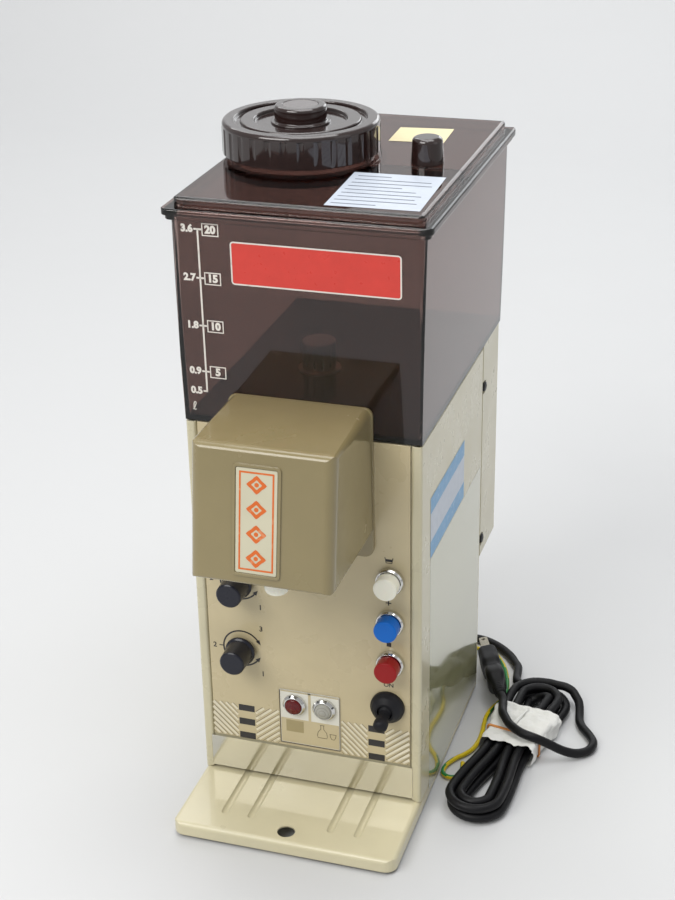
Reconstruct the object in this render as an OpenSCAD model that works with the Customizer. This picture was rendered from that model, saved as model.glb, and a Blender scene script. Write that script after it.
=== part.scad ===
// Countertop electric sake warmer: a transparent tank on a slim steel cabinet,
// a spout hood over a drip tray, and a control panel with dials, buttons,
// a toggle switch and two lamps. Millimetres, +Z up, front towards -Y.
// The cabinet's front plane is y = 0 before the whole machine is centred,
// and z = 0 is the surface that the feet stand on.

/* [Cabinet] */
// Width of the cabinet
body_w = 150; // [140:1:170]
// Depth of the cabinet from the control plate to the back panel
body_d = 162; // [155:1:180]
// Height at which the tank rests on the cabinet
body_top = 269; // [262:1:285]
// Thickness of the steel sheet
sheet = 1.2; // [0.8:0.1:1.6]
// Width of the folded front posts
post_w = 6.7; // [5:0.1:9]
// Depth of the folded front posts
post_depth = 9; // [6:0.5:12]
// How far the posts stand in front of the control plate
post_proud = 0.8; // [0.4:0.1:1.5]
// Height of the glossy strip of front panel under the control plate
strip_h = 26; // [20:1:32]
// Thickness of the printed control plate
plate_t = 0.8; // [0.5:0.1:1.2]

/* [Base and drip tray] */
// How far the drip tray reaches in front of the cabinet
tray_reach = 64; // [60:1:80]
// Height of the turned-down lip of the base pan
lip_h = 9; // [8:0.5:14]
// Corner radius of the pan in plan
pan_corner_r = 8; // [5:0.5:12]
// Bend radius along the pan's upper edge
pan_bend_r = 3; // [2:0.25:4]
// Height of the rubber feet below the lip
foot_drop = 2; // [1:0.5:4]
// Diameter of a rubber foot
foot_d = 14; // [10:1:18]
// Diameter of the drain hole in the tray
drain_d = 11.5; // [8:0.5:14]
// Distance of the drain hole from the tray's front edge
drain_inset = 11; // [9:0.5:20]
// Width of a pressed groove in the tray
groove_w = 5; // [3:0.5:7]
// Depth of a pressed groove in the tray
groove_deep = 0.7; // [0.4:0.1:0.9]
// Distance of the groove ends from the tray's front edge
groove_inset = 17.5; // [14:0.5:30]

/* [Tank] */
// Depth of the tank at its floor
tank_d = 212; // [206:1:230]
// Height of the tank from its floor to the top of its rim
tank_h = 131.6; // [110:0.2:150]
// How far each wall leans out over the tank's height
tank_draft = 2.2; // [1:0.1:4]
// Thickness of the tank's walls
tank_wall = 2.5; // [2:0.1:3.5]
// Thickness of the tank's floor
tank_floor = 3; // [2.5:0.1:4]
// Radius of the tank's vertical edges
tank_edge_r = 3; // [2:0.5:5]
// Thickness of the tank's rim flange
rim_t = 3; // [2:0.25:4]
// How far the rim flange stands out from the wall
rim_out = 2.7; // [2:0.1:4]
// Bore of the outlet in the tank's floor
outlet_d = 13; // [10:0.5:16]

/* [Lids and cap] */
// How far the lids overhang the cabinet on each side
lid_over = 6.8; // [6:0.1:9]
// Height of the lids' outer lip
lid_lip_h = 4; // [3:0.25:5]
// How far the lids' middle is raised above the lip
lid_rise = 5.6; // [4:0.1:8]
// Thickness of the lids
lid_wall = 2.5; // [2:0.1:3]
// Distance of the seam between the lids from the cabinet's front
seam_y = 92; // [86:1:98]
// Outer diameter of the fill cap
cap_d = 98; // [94:1:100]
// Height of the fill cap's skirt
cap_h = 20.5; // [18:0.5:26]
// Gap between the fill cap's skirt and the lid
cap_gap = 3.4; // [2:0.1:5]
// Number of grip flutes on the fill cap
flute_count = 30; // [24:1:36]
// Distance of the fill cap's axis to the left of the middle
cap_left = 30; // [28:0.5:32]
// Diameter of the knob on the fill cap
cap_knob_d = 32.5; // [28:0.5:36]
// Height of the knob on the fill cap above the cap's rim
cap_knob_h = 8; // [6:0.5:12]
// Diameter of the rear lid's knob at its foot
lid_knob_d = 20.5; // [15:0.5:22]
// Height of the rear lid's knob
lid_knob_h = 16.4; // [12:0.2:20]

/* [Spout hood] */
// Width of the hood where it meets the cabinet
hood_w = 90; // [84:1:96]
// How far the hood's top reaches forward
hood_top_reach = 70; // [66:1:76]
// How far the hood's lower edge reaches forward
hood_low_reach = 82; // [78:1:92]
// Height of the hood's top above the cabinet's top
hood_rise = 21.5; // [16:0.5:26]
// Height of the hood's lower edge above the standing surface
hood_low_z = 207; // [202:1:215]
// Narrowing of the hood from back to front, per side
hood_taper = 1.4; // [0.4:0.2:5]
// Wall thickness of the hood
hood_wall = 2.4; // [2:0.1:3]
// Height of the nozzle's lower end above the standing surface
nozzle_z = 188; // [178:1:190]
// Outer diameter of the nozzle
nozzle_d = 15; // [14:0.5:18]
// Bore of the nozzle
nozzle_bore = 8; // [6:0.5:9]

/* [Controls] */
// Distance of the button column from the middle
button_x = 55; // [52:0.5:56]
// Height of the lowest button above the standing surface
button_z = 115; // [112:1:118]
// Spacing of the buttons
button_pitch = 30; // [28:1:32]
// Diameter of a button
button_d = 15; // [12:0.5:16]
// How far a button stands out of the control plate
button_out = 13.5; // [8:0.5:15]
// Travel of a button
button_travel = 3.5; // [2:0.5:4]
// Distance of the dial column from the middle
dial_x = 45; // [43:0.5:48]
// Height of the lower dial above the standing surface
dial_z = 109; // [106:1:112]
// Spacing of the two dials
dial_pitch = 50; // [46:1:54]
// Diameter of a dial knob at its face
dial_d = 17.6; // [13:0.2:18]
// How far a dial knob stands out of the control plate
dial_out = 20.5; // [13:0.5:23]
// Height of the toggle switch above the standing surface
toggle_z = 82; // [80:0.5:86]
// Tilt of the toggle lever away from level
toggle_tilt = 12.5; // [10:0.5:15]
// Side of the square lamp plate
lamp_plate_w = 41.5; // [38:0.5:44]
// Distance of a lamp from the middle
lamp_x = 10.2; // [9.5:0.1:11]
// Height of the lamps above the standing surface
lamp_z = 72; // [70:0.5:74]
// Outer diameter of a lamp's bezel
lamp_d = 15.6; // [12:0.2:16.4]

/* [Rear cover] */
// Height of the rear cover's lower edge
rear_low_z = 108.5; // [96:0.5:114]
// Distance of the rear cover's back behind the tank's floor edge
rear_inset = 2; // [1:0.5:6]
// Heights of the cover's screws above the standing surface
screw_low_z = 120.6; // [118:0.1:130]
screw_high_z = 238; // [220:1:244]
// Diameter of a cover screw's head
screw_head_d = 7; // [6:0.5:8]

/* [Cord] */
// Diameter of the mains lead
cord_d = 6.2; // [5.5:0.1:6.6]
// Diameter of the earth wire
earth_d = 3.2; // [2.4:0.1:3.4]

/* [Hidden] */
$fn = 64;
over = 1;                        // over-run of the cutting tools

hw = body_w / 2;
tray_front = -tray_reach;
pan_top = foot_drop + lip_h;
foot_x = hw - foot_d - 1;
foot_ys = [tray_front + foot_d, body_d - foot_d + 2];
drain_y = tray_front + drain_inset;
groove_xs = [-hw * 0.6, -hw * 0.36, hw * 0.36, hw * 0.6];
groove_press = groove_deep + 0.8;
groove_r = (groove_w * groove_w / 4 + groove_press * groove_press) / (2 * groove_press);

panel_top = body_top - 1;        // a 1 mm gasket lies between the deck and the tank
deck_low = panel_top - sheet;
panel_x = hw - post_w - 0.4;     // half width of the front panel between the posts
panel_y = plate_t;
panel_back = plate_t + sheet;
panel_low = pan_top + 1.5;
plate_low = panel_low + strip_h;

rim_top = body_top + tank_h;
rim_low = rim_top - rim_t;
top_hw = hw + tank_draft;

lid_hw = hw + lid_over;
lid_front = -lid_over;
lid_back = tank_d + lid_over;
lip_top = rim_top + lid_lip_h;
lid_top = lip_top + lid_rise;
cap_c = [-cap_left, seam_y + 10];
cap_r = cap_d / 2;
neck_r = cap_r - 3.5;
neck_bore = neck_r - 3;
cap_low = lid_top + cap_gap;
cap_top = cap_low + cap_h;
cap_floor = cap_top - 3;         // the sunken middle of the cap
cap_under = cap_floor - 2.5;
seal_t = 1.2;
neck_top = cap_under - seal_t;
tongue_r = cap_r + 0.6;         // clear of the cap, so that the rear lid lifts past it
tongue_end = cap_c[1] + neck_r + 1.5;
seam_gap = 0.3;
lid_knob_x = 50.4;
lid_knob_y = seam_y + lid_knob_d / 2 + 0.8;

hood_hw = hood_w / 2;
hood_back = -2.9;
hood_top = body_top + hood_rise;
hood_lean = atan((hood_low_reach - hood_top_reach) / (hood_top - 1 - hood_low_z));
nozzle_y = tray_front + drain_inset;

rear_back = tank_d - rear_inset;
screw_y = body_d + 4.5;
button_zs = [button_z + 2 * button_pitch, button_z + button_pitch, button_z];
dial_zs = [dial_z, dial_z + dial_pitch];
vessel_c = [-18, 92];
vessel_r = 42;
vessel_low = 66;
vessel_top = 190;
pipe_z = 240;

// the mains lead: it leaves the back low down, lies on the floor to the right and
// is tied in a hank there; the plug lies on the hank
gland_at = [32, 30];             // x and z on the back panel
earth_at = [53, 30];
gland_out = 22;
floor_z = cord_d / 2 + 0.2;
hank_c = [116.5, 80];              // middle of the hank
hank_turn = -8;                  // turned away from the front-to-back line
hank_len = 164;                  // between the centres of the outer folds
hank_loops = 4;
hank_r = 20.5;                   // radius of the outermost fold
hank_waist = 14.4;               // half width between the outermost runs at the tie
hank_step = cord_d + 1;
hank_low = cord_d / 2 + 1.3;     // the tie passes under the hank
hank_layer = cord_d + 0.7;
hank_top = hank_low + hank_layer + cord_d / 2;
plug_at = [100.5, 127, 18.2];      // end of the plug's strain relief
plug_turn = 21.5;
plug_tilt = -6.1;
plug_roll = 80;                  // it lies on its edge

// the route's points; the ends lie straight in line with what they meet
lead_route = [
    [32, body_d + gland_out - 1, 30], [32, body_d + gland_out + 6, 30], [33, 198, 26], [36, 208, 16], [43, 216, 6.5],
    [55, 219.5, floor_z], [69, 218, floor_z], [82, 211, floor_z], [93, 200, floor_z], [101, 186, floor_z + 0.4]];
tail_route = [
    [146.5, 157.5, 10], [152.5, 150, 7], [155, 141, 4.5], [156.5, 132, floor_z], [160, 124, floor_z],
    [166, 116, floor_z], [170.5, 107, floor_z], [168.5, 97.5, floor_z], [161, 91, 4], [152, 86.5, 8], [143, 83, 14],
    [134, 80.5, 18.8], [124, 82, 20.4], [114, 90, 20.8], [107, 102, 21.4]];
earth_route = [
    [53, body_d + gland_out - 1, 30], [53, body_d + gland_out + 6, 29.6], [54, 197, 22], [58, 202, 10], [64, 205.5, 3.4],
    [72, 206.5, 1.8], [80, 202.5, 1.8], [86.5, 194, 1.8], [91.5, 184, 1.8], [95.5, 172, 1.8], [98, 160, 1.8],
    [98.2, 150, 1.8], [96, 140, 1.8], [93, 131, 1.8], [91.5, 121, 1.8], [92, 111, 1.8], [93, 101, 1.8],
    [93, 90, 1.8], [91.3, 80, 1.8], [87.5, 72.5, 1.8], [82.6, 66, 1.8], [78.8, 58.5, 1.8], [77.4, 50.6, 1.8],
    [79.4, 45.6, 1.8], [83.7, 43.8, 1.8], [88, 45.6, 1.8], [89.9, 50.2, 1.8], [89.6, 56, 1.8], [88.3, 62, 1.8]];

// the whole machine is centred front to back
y_mid = (lid_back - hood_low_reach) / 2;

// ---------- drawing helpers ----------
function unit(v) = v / norm(v);

// polygon p with corner i rounded to radius r[i] by n chords
function round_pts(p, r, n = 6) = [for (i = [0:len(p) - 1]) let (
    b = p[i],
    u = unit(p[(i + len(p) - 1) % len(p)] - b),
    v = unit(p[(i + 1) % len(p)] - b),
    half = acos(u * v) / 2,
    c = b + unit(u + v) * r[i] / sin(half),
    s = b + u * r[i] / tan(half) - c,
    e = b + v * r[i] / tan(half) - c,
    a0 = atan2(s[1], s[0]),
    a1 = atan2(e[1], e[0]),
    turn = a1 - a0 > 180 ? a1 - a0 - 360 : a1 - a0 < -180 ? a1 - a0 + 360 : a1 - a0)
    each r[i] <= 0 ? [b] : [for (k = [0:n]) c + r[i] * [cos(a0 + turn * k / n), sin(a0 + turn * k / n)]]];

// rectangle from a to b; r holds the radii of its corners, anticlockwise from a
module rect(a, b, r = [0, 0, 0, 0], n = 6)
    polygon(round_pts([a, [b[0], a[1]], b, [a[0], b[1]]], r, n));

module block(a, b) translate(a) cube(b - a);

// extrudes a (y, z) drawing along X, an (x, z) drawing along Y, an (x, y) drawing along Z
module along_x(x0, x1) translate([x0, 0, 0]) rotate([90, 0, 90]) linear_extrude(x1 - x0) children();
module along_y(y0, y1) translate([0, y1, 0]) rotate([90, 0, 0]) linear_extrude(y1 - y0) children();
module along_z(z0, z1) translate([0, 0, z0]) linear_extrude(z1 - z0) children();

// a cylinder on a Y axis, from y0 to y1
module rod_y(x, z, y0, y1, r) translate([x, y1, z]) rotate([90, 0, 0]) cylinder(h = y1 - y0, r = r);
module rod_x(y, z, x0, x1, r) translate([x0, y, z]) rotate([0, 90, 0]) cylinder(h = x1 - x0, r = r);
module rod_z(x, y, z0, z1, r) translate([x, y, z0]) cylinder(h = z1 - z0, r = r);

// turns an (r, depth) drawing about a Y axis; depth grows towards the viewer
module turned_y(x, z, y = 0) translate([x, y, z]) rotate([90, 0, 0]) rotate_extrude() children();

module machine() translate([0, -y_mid, 0]) children();

// ---------- base pan and feet ----------
module pan_form(t) intersection() {
    along_z(foot_drop - (t > 0 ? over : 0), pan_top - t)
        rect([-hw + t, tray_front + t], [hw - t, body_d - t],
             [pan_corner_r - t, pan_corner_r - t, 3 - t, 3 - t]);
    along_y(tray_front - over, body_d + over)
        rect([-hw + t, foot_drop - 2 * over], [hw - t, pan_top - t], [0, 0, pan_bend_r - t, pan_bend_r - t]);
    along_x(-hw - over, hw + over)
        rect([tray_front + t, foot_drop - 2 * over], [body_d - t, pan_top - t], [0, 0, pan_bend_r - t, pan_bend_r - t]);
}

module groove(x, grow) {
    z = pan_top - groove_press + groove_r;
    y0 = tray_front + groove_inset + groove_w / 2;
    rod_y(x, z, y0, 8, groove_r + grow);
    translate([x, y0, z]) sphere(r = groove_r + grow);
    translate([x, 8, z]) sphere(r = groove_r + grow);
}

module base_pan() color([0.84, 0.81, 0.68]) machine() difference() {
    union() {
        difference() {
            pan_form(0);
            pan_form(sheet);
        }
        // the metal pushed down under each groove
        intersection() {
            for (x = groove_xs) groove(x, sheet);
            block([-hw + 2, tray_front + 2, foot_drop], [hw - 2, body_d - 2, pan_top - sheet / 2]);
        }
    }
    for (x = groove_xs) groove(x, 0);
    rod_z(0, drain_y, 0, pan_top + over, drain_d / 2);
    // rows of air slots under the cabinet
    for (i = [-3:3]) along_z(0, pan_top + over)
        rect([i * 12 - 2, 96], [i * 12 + 2, 132], [1.9, 1.9, 1.9, 1.9], 4);
}

module rubber_feet() color([0.09, 0.09, 0.09]) machine() for (x = [-foot_x, foot_x], y = foot_ys)
    translate([x, y, 0]) rotate_extrude() polygon(round_pts([
        [2.2, 3], [4.5, 3], [4.5, 0], [foot_d / 2, 0], [foot_d / 2, pan_top - sheet], [2.2, pan_top - sheet]],
        [0, 0, 0, 1.5, 0, 0], 4));

// ---------- cabinet ----------
module side_sheet() {
    f = -post_proud;
    difference() {
        along_z(pan_top, panel_top) polygon(round_pts([
            [hw - post_w, f + post_depth], [hw - post_w, f], [hw, f], [hw, body_d],
            [hw - 10, body_d], [hw - 10, body_d - sheet], [hw - sheet, body_d - sheet],
            [hw - sheet, f + sheet], [hw - post_w + sheet, f + sheet], [hw - post_w + sheet, f + post_depth]],
            [0, 2, 2, 2, 0, 0, 0.8, 0.8, 0.8, 0], 4));
        // the post's foot is rounded off on its inner side
        along_y(f - over, f + post_depth + over) polygon(concat(
            [[hw - post_w - over, pan_top - over], [hw - post_w + 3, pan_top - over]],
            [for (k = [0:4]) [hw - post_w + 3 - 3 * sin(k * 22.5), pan_top + 3.8 - 3 * cos(k * 22.5)]],
            [[hw - post_w - over, pan_top + 3.8]]));
    }
    // lugs that the rear cover is screwed to
    for (z = [screw_low_z, screw_high_z]) difference() {
        along_x(hw - 2 * sheet, hw - sheet)
            rect([body_d - 12, z - 7], [screw_y + 6, z + 7], [0, 3, 3, 0], 4);
        rod_x(screw_y, z, hw - 4, hw + over, 2.05);
    }
}

module left_side_panel() color([0.78, 0.76, 0.64]) machine() mirror([1, 0, 0]) side_sheet();
module right_side_panel() color([0.78, 0.76, 0.64]) machine() side_sheet();

module control_holes(r_button, r_dial, r_toggle, r_lamp) {
    for (z = button_zs) rod_y(button_x, z, -over, panel_back + over, r_button);
    for (z = dial_zs) rod_y(-dial_x, z, -over, panel_back + over, r_dial);
    rod_y(button_x - 2, toggle_z, -over, panel_back + over, r_toggle);
    for (s = [-1, 1]) rod_y(s * lamp_x, lamp_z, -over, panel_back + over, r_lamp);
    rod_y(0, pipe_z, -over, panel_back + over, 8);
}

module front_panel() color([0.76, 0.74, 0.62]) machine() difference() {
    union() {
        block([-panel_x, panel_y, panel_low], [panel_x, panel_back, panel_top]);
        // side flanges fixed to the inner legs of the posts
        for (s = [-1, 1]) scale([s, 1, 1])
            block([hw - post_w - sheet, panel_back - 0.6, panel_low + 4], [hw - post_w, post_depth - post_proud, panel_top - 4]);
    }
    control_holes(6.1, 3.9, 6.1, 6.1);
}

module control_plate() color([0.70, 0.66, 0.50]) machine() difference() {
    along_y(0, plate_t) rect([-panel_x + 0.2, plate_low], [panel_x - 0.2, panel_top], [1, 1, 1, 1], 3);
    control_holes(6.1, 3.9, 6.1, 6.1);
}

module back_panel() color([0.72, 0.70, 0.60]) machine() difference() {
    union() {
        block([-hw + sheet + 0.9, body_d - 2 * sheet, pan_top], [hw - sheet - 0.9, body_d - sheet, deck_low]);
        for (s = [-1, 1]) scale([s, 1, 1])
            block([hw - 2 * sheet - 0.9, body_d - 14, pan_top + 6], [hw - sheet - 0.9, body_d - 2 * sheet, screw_low_z - 12]);
    }
    rod_y(gland_at[0], gland_at[1], body_d - 3, body_d + 1, cord_d / 2 + 4.95);
    rod_y(earth_at[0], earth_at[1], body_d - 3, body_d + 1, earth_d / 2 + 4.95);
    for (i = [0:6], s = [-1, 1]) along_y(body_d - 3, body_d + 1)
        rect([s * 24 - 16, 56 + i * 6], [s * 24 + 16, 58.4 + i * 6], [1.1, 1.1, 1.1, 1.1], 4);
    // notches for the cover's lugs, and the way into the rear cover
    for (s = [-1, 1], z = [screw_low_z, screw_high_z]) scale([s, 1, 1])
        block([hw - 2 * sheet - 0.2, body_d - 3, z - 7.3], [hw, body_d + 1, z + 7.3]);
    along_y(body_d - 3, body_d + 1) rect([-50, 130], [50, 236], [4, 4, 4, 4]);
}

module tank_deck() color([0.74, 0.73, 0.66]) machine() difference() {
    union() {
        block([-hw + sheet, panel_back, deck_low], [hw - sheet, body_d - 2 * sheet, panel_top]);
        for (s = [-1, 1]) scale([s, 1, 1])
            block([hw - 2 * sheet, 10, deck_low - 12], [hw - sheet, body_d - 16, deck_low]);
        // hanger that the valve is fixed to
        block([-16, 16, 252], [16, 42, 253.5]);
        for (s = [-1, 1]) block([s * 15.25 - 0.75, 16, 253.5], [s * 15.25 + 0.75, 42, deck_low]);
    }
    rod_z(vessel_c[0], vessel_c[1], deck_low - over, panel_top + over, 15);
    // corners cut away for the posts
    for (s = [-1, 1]) scale([s, 1, 1])
        block([hw - post_w - 0.2, panel_y, deck_low - over], [hw, post_depth - post_proud + 0.2, panel_top + over]);
}

module rear_form(t) intersection() {
    along_z(rear_low_z + t, body_top - t)
        rect([-hw + t, body_d - (t > 0 ? over : 0)], [hw - t, rear_back - t], [0, 0, 3 - t, 3 - t]);
    along_x(-hw - over, hw + over)
        rect([body_d - 2 * over, rear_low_z + t], [rear_back - t, body_top - t], [0, 3 - t, 3 - t, 0]);
}

module rear_cover() color([0.78, 0.76, 0.64]) machine() difference() {
    rear_form(0);
    rear_form(sheet);
    for (z = [screw_low_z, screw_high_z]) {
        rod_x(screw_y, z, -hw - over, hw + over, 4.5);
        block([-hw - over, body_d - over, z - 4.5], [hw + over, screw_y, z + 4.5]);
    }
    // louvre slots
    for (i = [0:9], s = [-1, 1]) along_y(rear_back - 3, rear_back + over)
        rect([s * 32 - 22, 140 + i * 9], [s * 32 + 22, 143 + i * 9], [1.4, 1.4, 1.4, 1.4], 4);
}

module casing_screws() color([0.12, 0.12, 0.12]) machine()
    for (s = [-1, 1], z = [screw_low_z, screw_high_z]) scale([s, 1, 1]) difference() {
        translate([hw - sheet, screw_y, z]) rotate([0, 90, 0]) {
            rotate_extrude() polygon(round_pts([[0, 0], [screw_head_d / 2, 0], [screw_head_d / 2, 2.2], [0, 2.2]],
                [0, 0, 1.2, 0], 4));
            translate([0, 0, -6]) cylinder(h = 6.5, r = 2);
        }
        for (a = [0, 90]) translate([hw + 0.4, screw_y, z]) rotate([a, 0, 0])
            block([0, -2, -0.45], [1, 2, 0.45]);
    }

// ---------- tank ----------
// drafted shell between heights z0 and z1, with its walls moved in by t
module tank_form(t, z0, z1) {
    g = tank_draft * (z1 - body_top) / tank_h;
    k = tank_draft * (z0 - body_top) / tank_h;
    intersection() {
        along_y(-20, tank_d + 20) polygon([[-hw - k + t, z0], [hw + k - t, z0], [hw + g - t, z1], [-hw - g + t, z1]]);
        along_x(-hw - 20, hw + 20) polygon([[-k + t, z0], [tank_d + k - t, z0], [tank_d + g - t, z1], [-g + t, z1]]);
        along_z(z0 - over, z1 + over) rect([-hw - g + t, -g + t], [hw + g - t, tank_d + g - t],
            [1, 1, 1, 1] * (tank_edge_r + tank_draft - (t > 0 ? 1.5 : 0)));
    }
}

module tank() color([0.42, 0.33, 0.26, 0.6]) machine() difference() {
    union() {
        tank_form(0, body_top, rim_top);
        along_z(rim_low, rim_top) rect([-top_hw - rim_out, -tank_draft - rim_out],
            [top_hw + rim_out, tank_d + tank_draft + rim_out], [5, 5, 5, 5]);
        rod_z(vessel_c[0], vessel_c[1], body_top - 16, body_top + 1, outlet_d / 2 + 2.5);
    }
    tank_form(tank_wall, body_top + tank_floor, rim_top + 0.01);
    along_z(rim_top - 0.5, rim_top + over) rect([-top_hw + tank_wall, -tank_draft + tank_wall],
        [top_hw - tank_wall, tank_d + tank_draft - tank_wall], [3, 3, 3, 3]);
    rod_z(vessel_c[0], vessel_c[1], body_top - 20, body_top + tank_floor + over, outlet_d / 2);
}

module tank_gasket() color([0.1, 0.1, 0.1]) machine() difference() {
    along_z(panel_top, body_top) rect([-hw + 4, 5], [hw - 4, body_d - 5], [4, 4, 4, 4]);
    along_z(panel_top - over, body_top + over) rect([-hw + 12, 13], [hw - 12, body_d - 13], [3, 3, 3, 3]);
}

// slotted strainer that stands over the outlet
module tank_strainer() color([0.62, 0.62, 0.6]) machine() translate([vessel_c[0], vessel_c[1], body_top + tank_floor]) difference() {
    rotate_extrude() polygon(round_pts([[9.8, 0], [14, 0], [14, 1.2], [11, 1.2], [11, 20], [0, 20], [0, 18.8], [9.8, 18.8]],
        [0, 0, 0, 0, 1.2, 0, 0, 0], 4));
    for (a = [0:30:150]) rotate([0, 0, a]) block([-15, -0.8, 3], [15, 0.8, 16]);
}

// ---------- lids and fill cap ----------
module lid_form() {
    b = top_hw - 1.5;
    f = -tank_draft + 1.5;
    r = tank_d + tank_draft - 1.5;
    intersection() {
        union() {
            along_z(rim_top, lip_top) rect([-lid_hw, lid_front], [lid_hw, lid_back], [6, 6, 6, 6]);
            along_z(rim_top, lid_top) rect([-b, f], [b, r], [5, 5, 5, 5]);
        }
        along_y(lid_front - over, lid_back + over) polygon(round_pts([
            [-lid_hw, rim_top - over], [lid_hw, rim_top - over], [lid_hw, lip_top], [b, lip_top], [b, lid_top],
            [-b, lid_top], [-b, lip_top], [-lid_hw, lip_top]], [0, 0, 1.5, 1, 2.5, 2.5, 1, 1.5], 4));
        along_x(-lid_hw - over, lid_hw + over) polygon(round_pts([
            [lid_front, rim_top - over], [lid_back, rim_top - over], [lid_back, lip_top], [r, lip_top], [r, lid_top],
            [f, lid_top], [f, lip_top], [lid_front, lip_top]], [0, 0, 1.5, 1, 2.5, 2.5, 1, 1.5], 4));
    }
}

// plan of the front lid; its tongue carries the fill neck. g widens it.
module front_plan(g) {
    translate([-lid_hw - 5, lid_front - 5]) square([2 * lid_hw + 10, seam_y - lid_front + 5 + g]);
    translate(cap_c) circle(r = tongue_r + g);
    translate([-lid_hw - 5, seam_y - 10]) square([lid_hw + 5 - cap_left, 10 + tongue_end - seam_y + g]);
}

module front_lid() color([0.40, 0.31, 0.24, 0.6]) machine() difference() {
    intersection() {
        lid_form();
        along_z(rim_top - over, lid_top + over) front_plan(0);
    }
    // the hollow under the lid stops at a wall along the seam and round the neck
    difference() {
        along_z(rim_top - over, lid_top - lid_wall)
            rect([-top_hw + 4, -tank_draft + 4], [top_hw - 4, seam_y - lid_wall], [4, 4, 0, 0]);
        rod_z(cap_c[0], cap_c[1], rim_top - 2 * over, lid_top, neck_r + lid_wall);
    }
    rod_z(cap_c[0], cap_c[1], rim_top - over, neck_top + over, neck_r);
}

// ring cemented through the front lid; the cap screws onto it. A bead stands in for its thread.
module fill_neck() color([0.40, 0.31, 0.24, 0.6]) machine() translate([cap_c[0], cap_c[1], 0]) rotate_extrude() {
    polygon([[neck_bore, rim_top], [neck_r, rim_top], [neck_r, neck_top], [neck_bore, neck_top]]);
    translate([neck_r - 0.1, cap_low + 5]) circle(r = 0.7, $fn = 6);
}

module rear_lid() color([0.40, 0.31, 0.24, 0.6]) machine() difference() {
    lid_form();
    along_z(rim_top - over, lid_top + over) front_plan(seam_gap);
    difference() {
        along_z(rim_top - over, lid_top - lid_wall)
            rect([-top_hw + 4, seam_y + seam_gap + lid_wall], [top_hw - 4, tank_d + tank_draft - 4], [0, 0, 4, 4]);
        along_z(rim_top - 2 * over, lid_top) front_plan(seam_gap + lid_wall);
    }
    rod_z(lid_knob_x, lid_knob_y, lid_top - lid_wall - over, lid_top + over, 2.5);
}

module rear_lid_knob() color([0.16, 0.11, 0.08]) machine() translate([lid_knob_x, lid_knob_y, lid_top]) rotate_extrude()
    polygon(concat(
        round_pts([[0, -lid_wall - 1.5], [4, -lid_wall - 1.5], [4, -lid_wall], [2.4, -lid_wall], [2.4, 0],
            [lid_knob_d / 2, 0], [lid_knob_d / 2 - 1, lid_knob_h], [0, lid_knob_h]],
            [0, 0.6, 0, 0, 0, 0.6, 3, 0], 6)));

module cap_seal() color([0.85, 0.84, 0.8]) machine() translate([cap_c[0], cap_c[1], neck_top]) difference() {
    cylinder(h = seal_t, r = neck_r);
    translate([0, 0, -over]) cylinder(h = seal_t + 2 * over, r = neck_bore);
}

module fill_cap() color([0.22, 0.15, 0.11, 0.8]) machine() translate([cap_c[0], cap_c[1], 0]) difference() {
    rotate_extrude() polygon(round_pts([
        [0, cap_under], [neck_r + 0.9, cap_under], [neck_r + 0.9, cap_low], [cap_r, cap_low], [cap_r, cap_top],
        [cap_r - 7.8, cap_top], [cap_r - 7.8, cap_top - 2.4], [cap_r - 11.5, cap_top - 2.4],
        [cap_r - 11.5, cap_top - 0.6], [cap_r - 20.2, cap_top - 0.6], [cap_r - 20.2, cap_floor], [0, cap_floor]],
        [0, 0.5, 0.5, 0.8, 2.5, 1, 0.4, 0.4, 1, 1, 0.6, 0], 5));
    // shallow grip flutes round the skirt
    for (i = [0:flute_count - 1]) rotate([0, 0, i * 360 / flute_count])
        translate([cap_r + 3.1, 0, cap_low - over]) cylinder(h = cap_h - 2.4, r = 3.9, $fn = 24);
}

module cap_knob() color([0.20, 0.14, 0.10]) machine() translate([cap_c[0], cap_c[1], cap_floor]) rotate_extrude()
    polygon(round_pts([[0, 0], [cap_knob_d / 2 + 2.3, 0], [cap_knob_d / 2 + 2.3, 1.2], [cap_knob_d / 2, 1.2],
        [cap_knob_d / 2, cap_knob_h + 3], [11.2, cap_knob_h + 3], [11.2, cap_knob_h + 2.2], [0, cap_knob_h + 2.2]],
        [0, 0, 0.6, 0.8, 2, 0.4, 0, 0], 5));

module cap_disc() color([0.62, 0.45, 0.38]) machine() translate([cap_c[0], cap_c[1], cap_floor + cap_knob_h + 2.2])
    cylinder(h = 0.6, r = 11);

// ---------- spout hood ----------
// the hood's outside, with its walls moved in by t; open to the rear and below
module hood_form(t) {
    b = over * (t > 0 ? 1 : 0);
    intersection() {
        along_x(-hood_hw - over, hood_hw + over) polygon(round_pts([
            [hood_back + 3 * b, hood_low_z + 2 - 12 * b], [-hood_low_reach - 0.3 - 1.7 * b + t, hood_low_z - 12 * b],
            [-hood_top_reach - 0.3 + t * 0.9, hood_top - 1 - t], [hood_back + 3 * b, hood_top - t]],
            [0, t > 0 ? 0 : 3, 5.5 - t, 0], 7));
        // the plan leans back with the front face
        translate([0, -hood_low_reach, hood_low_z]) rotate([-hood_lean, 0, 0]) translate([0, 0, -30]) linear_extrude(160)
            polygon(round_pts([[-hood_hw + hood_taper + t, t], [hood_hw - hood_taper - t, t],
                [hood_hw - t, hood_low_reach], [hood_hw - t, hood_low_reach + 60],
                [-hood_hw + t, hood_low_reach + 60], [-hood_hw + t, hood_low_reach]], [6.5 - t, 6.5 - t, 0, 0, 0, 0], 8));
        along_y(-hood_low_reach - 5, 5) polygon(round_pts([
            [-hood_hw + t, hood_low_z - 20 * b], [hood_hw - t, hood_low_z - 20 * b], [hood_hw - t - 1, hood_top - t],
            [-hood_hw + t + 1, hood_top - t]], [4 - 4 * b, 4 - 4 * b, 5 - t, 5 - t], 6));
    }
}

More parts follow.
